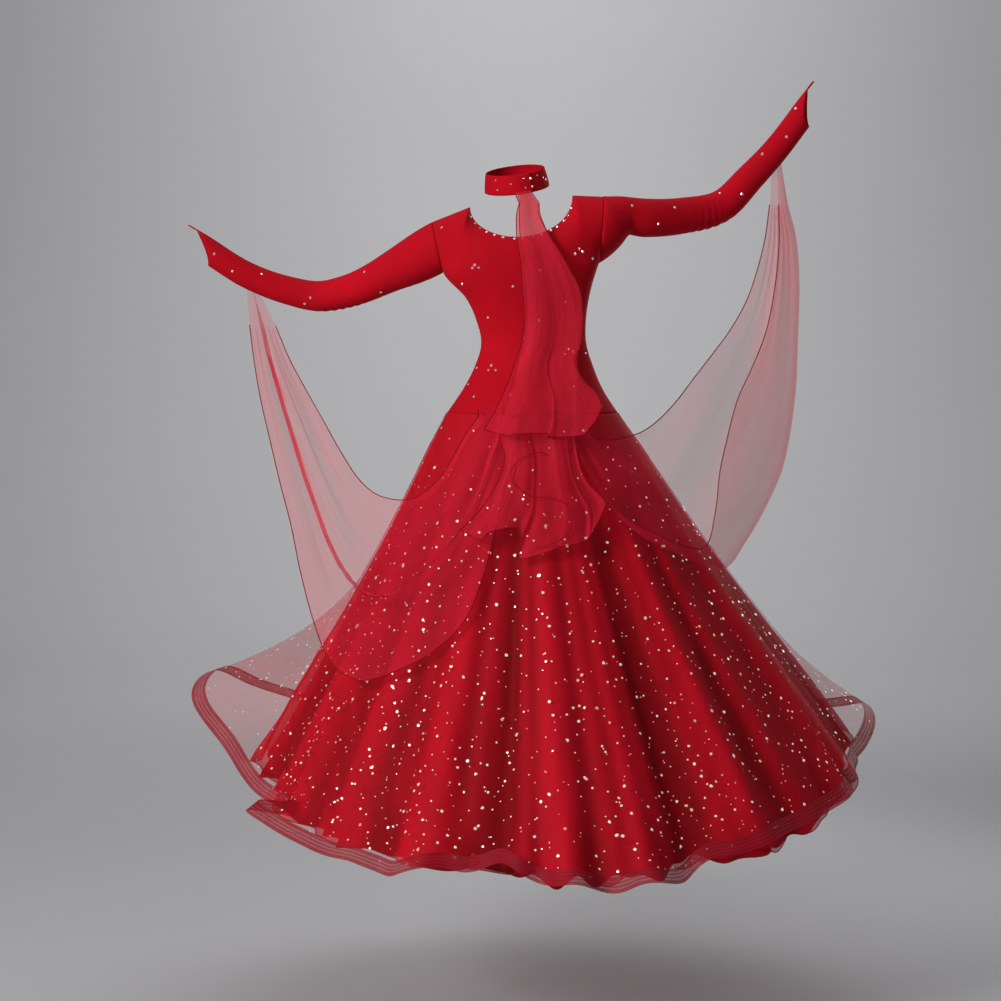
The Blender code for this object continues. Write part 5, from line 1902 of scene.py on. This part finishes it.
@dataclass
class NeckFloat:
    """One float, gathered at the collar's foot and hanging over the back in soft overlapping folds."""

    name: str
    standoff: Standoff
    collar: Collar
    rows: Table
    top: Pair
    laid: bool
    cut: Pair
    area: float
    hem: Table
    folds: float
    curl: Table | None = None
    lap: float = 1.5
    lap_start: float = 0.18
    least_off: float = 0.0006
    hem_sharpness: float = 10.0
    across: int = 110
    down: int = 150
    overlap: float = 0.0045
    edge: float = 0.0009
    curl_reach: float = 0.010
    curl_off: float = 0.0012
    curl_steps: int = 90
    curl_window: int = 5
    curl_edge: float = 0.8

    def grid(self) -> Array:
        """Lapping folds: x = left + w*(v + a*sin(2p - b)), y = depth - f*(1 - cos(p))/2, p = 2*pi*n*v.

        Returns:
            Rows of points from the collar to the hem.
        """
        stations = numbers(self.rows)
        run = np.linspace(0, 1, self.down)
        read = flowing(run, np.linspace(0, 1, len(stations)), stations)
        height, left, right, depth, off, fold = read.T[:, :, None]
        run = run[:, None]
        across = np.linspace(0, 1, self.across + 1)[None, :]
        phase = 2 * math.pi * self.folds * across
        growth = smooth_step((run - self.lap_start) / (1 - self.lap_start))
        lean = self.lap * growth * np.sin(2 * phase - 0.9) / (4 * math.pi * self.folds)
        fade = np.sin(math.pi * np.clip(across, 0.001, 0.999)) ** 1.1
        x = left + (right - left) * (across + lean * fade)
        fine = 0.10 * np.sin(3.3 * phase + 3 * run) + 0.05 * np.sin(7.1 * phase)
        wave = (1 - np.cos(phase)) / 2 + fine * (0.4 + 0.6 * growth)
        rise = flowing(across[0], self.hem.across, self.hem.rise[:, None])[:, 0]
        z = height + rise * run**self.hem_sharpness
        y = depth - fold * wave
        hanging = np.stack(np.broadcast_arrays(x, y, z), axis=-1)
        rows = self.standoff.clear(hanging, np.maximum(off + fold * wave, self.least_off), where=off > 0)
        foot, out, down = self.collar.foot(*self.top, self.across + 1)
        if self.laid:
            start = [foot + out * 0.0018 - down * self.overlap, foot + out * 0.0035 + down * 0.001]
        else:
            start = [foot - out * 0.0004 + down * 0.0006]
        return np.concatenate([np.stack(start), rows])

    def build(self, looks: Looks) -> Pieces:
        """Makes the float and the rolled edge round its free sides.

        Args:
            looks: The dress's materials.

        Returns:
            Every piece of it.
        """
        grid = self.grid()
        cloth = dress(grid_mesh(f"{self.name}_cloth", grid, side=1), looks.float_organza)
        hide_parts(self.name)
        width = np.linalg.norm(grid[:, -1] - grid[:, 0], axis=-1)
        # the cloth is denser where it is gathered to less than about half of its full width
        narrow = np.clip(1.15 - width / (0.55 * width.max()), 0, 1)[:, None]
        keep_number(cloth, "bunch", np.clip(bunching(grid) + 0.8 * narrow, 0, 1))
        edges = [dress(tube(f"{self.name}_rolled_edge", outline(grid[1:]), self.edge), looks.thread)]
        if self.curl is not None:
            curl = tube(f"{self.name}_curl_rolled_edge", self.curl_line(grid), self.edge * self.curl_edge)
            edges.append(dress(curl, looks.thread))
        return [cloth, *edges]

    def curl_line(self, grid: Array) -> Array:
        """The S of a rolled edge that lies on the float, its x and height from the table, just off the cloth.

        Args:
            grid: The float's points.

        Returns:
            Points along the edge.
        """
        knots = np.linspace(0, 1, len(self.curl))
        line = flowing(np.linspace(0, 1, self.curl_steps), knots, numbers(self.curl))
        spots = grid.reshape(-1, 3)
        near = np.hypot(spots[:, 0] - line[:, None, 0], spots[:, 2] - line[:, None, 1]) < self.curl_reach
        depth = np.where(near, spots[:, 1], 0).min(axis=1) - self.curl_off
        return np.stack([line[:, 0], smoothed(depth[None], self.curl_window)[0], line[:, 1]], -1)


@dataclass
class FoilDots:
    """Foil dots scattered over the outer layer, closer towards the hem."""

    skirt: Skirt
    count: int = 2700
    smallest: float = 0.0008
    largest: float = 0.0030
    skew: float = 2.2
    sides: int = 8
    off: float = 0.0007
    rise: float = 0.12
    crowd: float = 0.50
    step: Pair = (0.7548776662, 0.5698402910)
    play: Pair = (0.006, 0.010)
    ends: Pair = (0.04, 0.985)
    lumps: float = 0.18

    def build(self, looks: Looks) -> Pieces:
        """Makes every dot: r*(cos(a), sin(a)) in the cloth's own plane, a little domed and out of round.

        Args:
            looks: The dress's materials.

        Returns:
            Every piece of it.
        """
        rng = np.random.default_rng(SEED)
        order = np.arange(1, self.count + 1)
        # two steps that have no common measure lay the dots evenly, and the play breaks their order
        turn, share = (
            (order * step + rng.normal(0, play, self.count)) % 1.0 for step, play in zip(self.step, self.play)
        )
        turn = turn * 360 - 180
        share = self.ends[1] * np.maximum(share**self.crowd, self.ends[0])
        spot = self.skirt.outer(turn, share)
        aside = self.skirt.outer(turn + 0.25, share) - spot
        down = self.skirt.outer(turn, np.minimum(share + 0.003, 1.0)) - spot
        first = unit(aside)
        out = unit(np.cross(down, first))
        size = self.smallest + (self.largest - self.smallest) * rng.uniform(0, 1, self.count) ** self.skew
        lumps = 1 + self.lumps * rng.standard_normal((self.count, self.sides))
        ring = circle(round_turn(self.sides), first[:, None], np.cross(out, first)[:, None])
        ring = size[:, None, None] * lumps[..., None] * ring
        middle = spot + out * (self.off + self.rise * size[:, None])
        points = np.concatenate([middle[:, None], spot[:, None] + out[:, None] * self.off + ring], axis=1)
        start = (np.arange(self.count) * (self.sides + 1))[:, None]
        k = np.arange(self.sides)[None, :]
        faces = np.stack([start + 0 * k, start + 1 + (k + 1) % self.sides, start + 1 + k], axis=-1)
        piece = dress(raw_mesh("foil_dots", points.reshape(-1, 3), faces.reshape(-1, 3)), looks.foil)
        keep_number(piece, "tone", np.repeat(rng.uniform(0, 1, self.count), self.sides + 1))
        return [piece]


@dataclass
class Rhinestones:
    """Faceted stones glued to the bodice, the sleeves and the collar."""

    torso: Torso
    sleeves: dict[Side, Sleeve]
    collar: Collar
    radius: float = 0.0025
    sides: int = 8
    neckline_step: float = 0.0175
    neckline_row: int = -7
    glue: float = 0.0004
    sizes: Pair = (0.85, 1.15)
    # each ring's reach and height in radii, and its turn in half sides: girdle, top of it, table
    rings: tuple[Triple, ...] = ((1.0, 0.0, 0.0), (1.0, 0.22, 0.0), (0.55, 0.62, 0.5))
    on_back: Table = kept(BACK_STONES)
    on_sleeves: dict[Side, Table] = kept(SLEEVE_STONES)
    on_collar: Table = kept(COLLAR_STONES)

    def on_neckline(self, grid: Array, normals: Array) -> list[tuple[Array, Array]]:
        """The stones at equal steps along a panel's neckline.

        Args:
            grid: The panel's points.
            normals: The way out at each.

        Returns:
            Each stone's place and the way that it faces.
        """
        inner = slice(self.torso.columns // 6 + 2, -self.torso.columns // 6 - 2)
        line, way = grid[self.neckline_row, inner], normals[self.neckline_row, inner]
        length = running(line[None], 1)[0]
        wanted = np.arange(self.neckline_step / 2, length[-1], self.neckline_step)
        nearest = [int(np.argmin(np.abs(length - want))) for want in wanted]
        return [(line[k], way[k]) for k in nearest]

    def places(self) -> list[tuple[Array, Array]]:
        """The stones of the bodice, the sleeves and the collar; those of the back are on the front too.

        Returns:
            Each stone's place and the way that it faces.
        """
        panels = {face: self.torso.panel(face) for face in Face}
        normals = {face: grid_normals(panels[face], -face.value) for face in Face}
        found = [stone for face, grid in panels.items() for stone in self.on_neckline(grid, normals[face])]
        for stone in self.on_back:
            for face in Face:
                grid, way = panels[face], normals[face]
                away = np.hypot(grid[..., 0] - stone.x, grid[..., 2] - stone.height)
                if face is Face.BACK:
                    away = away + 10.0 * (way[..., 1] > 0.2)
                k = np.unravel_index(np.argmin(away), away.shape)
                found.append((grid[k], way[k]))
        for side, stones in self.on_sleeves.items():
            grid = self.sleeves[side].grid()
            out = unit(grid - grid.mean(axis=1, keepdims=True))
            for stone in stones:
                around = round(stone.turn / 360 * grid.shape[1]) % grid.shape[1]
                k = (round(stone.share * (len(grid) - 1)), around)
                found.append((grid[k], out[k]))
        grid, way = self.collar.grid()
        facing = grid_normals(grid, -1)
        for stone in self.on_collar:
            k = (round(stone.drop * (len(grid) - 1)), int(np.argmin(np.abs(way - stone.direction))))
            found.append((grid[k], facing[k]))
        return found

    def build(self, looks: Looks) -> Pieces:
        """Makes every stone: a table, a ring of slanting facets and a girdle.

        Args:
            looks: The dress's materials.

        Returns:
            Every piece of it.
        """
        rng = np.random.default_rng(SEED + 1)
        sides, count = self.sides, len(self.rings) * self.sides
        _, _, facets = grid_faces(len(self.rings), sides, closed=True)
        facets = [*facets.reshape(-1, 4).tolist(), list(range(count - sides, count))]
        points, faces, tones = [], [], []
        for number, (spot, way) in enumerate(self.places()):
            size = self.radius * rng.uniform(*self.sizes)
            first = unit(np.cross(way, rng.standard_normal(3)))
            second = np.cross(way, first)
            for reach, height, shift in self.rings:
                ring = circle(round_turn(sides) + shift * math.pi / sides, first, second)
                points.append(spot + way * (self.glue + size * height) + size * reach * ring)
            faces += [[corner + number * count for corner in facet] for facet in facets]
            tones += [rng.uniform(0, 1)] * count
        piece = plain_mesh("rhinestones", np.concatenate(points), faces, smooth=False)
        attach(piece, BODY)
        keep_number(piece, "tone", np.array(tones))
        return [dress(piece, looks.crystal)]


@dataclass
class Studio:
    """The camera, a plain pale floor that sweeps up behind, and soft light."""

    place: Triple = (-0.034, -4.2, -0.24)
    tilt: float = math.radians(-4.2)
    lens: float = 81.64
    sensor: float = 36.0
    floor: float = -1.49
    half_wide: float = 9.0
    front: float = -8.0
    bend_start: float = 4.2
    bend_radius: float = 2.4
    tall: float = 5.0
    grey: Triple = (0.44, 0.438, 0.446)
    ambient: float = 0.15
    # each light's name, place, the point that it faces, its width and its power in watts
    lights: tuple[tuple[str, Triple, Triple, float, float], ...] = (
        ("key", (-2.9, -3.0, 1.1), (0.0, 0.0, -0.45), 1.6, 176.0),
        ("fill", (3.2, -3.0, 0.3), (0.0, 0.0, -0.6), 2.6, 7.0),
        ("above", (0.2, 0.8, 2.6), (0.0, 0.0, -0.6), 2.4, 30.0),
        ("backdrop", (0.1, 3.6, 2.3), (0.1, 6.2, -0.3), 1.4, 100.0),
        ("floor", (0.9, 1.0, -0.2), (0.5, -0.4, -1.49), 1.4, 9.0),
    )

    def build(self) -> None:
        """Sets the camera, the sweep, the lights and the colours' plain view."""
        scene = bpy.context.scene
        scene.view_settings.view_transform = "Standard"
        data = bpy.data.cameras.new("camera")
        data.lens = self.lens
        data.sensor_width = self.sensor
        camera = bpy.data.objects.new("camera", data)
        camera.location = self.place
        camera.rotation_euler = (math.pi / 2 + self.tilt, 0.0, 0.0)
        scene.collection.objects.link(camera)
        scene.camera = camera
        self.sweep()
        for light in self.lights:
            self.light(*light)
        world = bpy.data.worlds.new("studio")
        world.use_nodes = True
        back = world.node_tree.nodes["Background"]
        back.inputs["Color"].default_value = (0.92, 0.95, 1.0, 1.0)
        back.inputs["Strength"].default_value = self.ambient
        scene.world = world

    def sweep(self) -> None:
        """The floor and the backdrop, one sheet: flat, a quarter circle, then upright."""
        turn = np.linspace(0, math.pi / 2, 16)
        y = np.concatenate([[self.front], self.bend_start + self.bend_radius * np.sin(turn)])
        z = np.concatenate([[0.0], self.bend_radius * (1 - np.cos(turn))])
        y, z = np.append(y, y[-1]), np.append(z, self.tall) + self.floor
        x = np.linspace(-self.half_wide, self.half_wide, 5)
        grid = np.stack(np.broadcast_arrays(x[None, :], y[:, None], z[:, None]), -1)
        _, _, faces = grid_faces(*grid.shape[:2])
        piece = plain_mesh("studio_sweep", grid.reshape(-1, 3), faces.reshape(-1, 4).tolist())
        paper = Finish("studio_paper", Metallic=0.0)
        soft = paper.noise(paper.place, (1.3, 1.3, 1.3), 2.0)
        paper.colour(soft, self.grey, tuple(0.97 * part for part in self.grey))
        paper.set("Roughness", 0.85 + soft * 0.1)
        dress(piece, paper.material)

    def light(self, name: str, place: Triple, aim: Triple, wide: float, power: float) -> None:
        """One soft square light that faces a point.

        Args:
            name: The light's name.
            place: Where it hangs.
            aim: The point that it faces.
            wide: Its width.
            power: Its power in watts.
        """
        data = bpy.data.lights.new(name, "AREA")
        data.size = wide
        data.energy = power
        lamp = bpy.data.objects.new(name, data)
        lamp.location = place
        way = Vector(aim) - Vector(place)
        lamp.rotation_euler = way.to_track_quat("-Z", "Y").to_euler()
        bpy.context.scene.collection.objects.link(lamp)


def main() -> None:
    """Builds the dress's looks over its CAD part, piece by piece, and sets the studio."""
    logging.basicConfig(level=logging.INFO, format="%(name)s: %(message)s")
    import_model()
    satin, layer, tulle = (cloth.material() for cloth in (Satin(), LAYER_ORGANZA, SOFT_TULLE))
    looks = Looks(
        jersey=Jersey().material(),
        skirt={Layer.UNDERSKIRT: satin, Layer.MIDDLE: layer, Layer.OUTER: tulle},
        braid=Braid().material(),
        thread=Thread().material(),
        organza=RED_ORGANZA.material(),
        float_organza=FLOAT_ORGANZA.material(),
        foil=FOIL.material(),
        crystal=CRYSTAL.material(),
    )
    torso = Torso()
    skirt = Skirt(torso)
    collar = Collar()
    sleeves = {
        Side.LEFT: Sleeve(torso, Side.LEFT, LEFT_SLEEVE, 0.30),
        Side.RIGHT: Sleeve(torso, Side.RIGHT, RIGHT_SLEEVE, 0.15),
    }
    standoff = Standoff(torso, skirt)
    left_wing = Wing(
        torso, sleeves[Side.LEFT], standoff, Side.LEFT, LEFT_WING, (-0.484, -0.510), (-0.071, 0.004),
        waves=2.4, wave=0.016, cut=(0.95, 0.42), area=0.22, pleat_wide=0.009,
    )
    right_wing = Wing(
        torso, sleeves[Side.RIGHT], standoff, Side.RIGHT, RIGHT_WING, (0.472, 0.490), (0.113, 0.072),
        waves=1.6, wave=0.010, cut=(0.85, 0.42), area=0.24,
    )
    long_float = NeckFloat(
        "neck_float_long", standoff, collar, LONG_FLOAT, (-1.0, 22.0), False, (0.42, 0.66), 0.11,
        hem=LONG_HEM, folds=2.0, curl=LONG_CURL,
    )
    short_float = NeckFloat(
        "neck_float_short", standoff, collar, SHORT_FLOAT, (-4.0, 23.0), True, (0.34, 0.46), 0.062,
        hem=SHORT_HEM, folds=1.5,
    )
    parts = [
        Bodice(torso), *sleeves.values(), collar, skirt, left_wing, right_wing, long_float, short_float,
        FoilDots(skirt), Rhinestones(torso, sleeves, collar),
    ]
    for part in parts:
        for piece in part.build(looks):
            LOG.info("%s: %d faces", piece.name, len(piece.data.polygons))
    Studio().build()


if __name__ == "__main__":
    main()
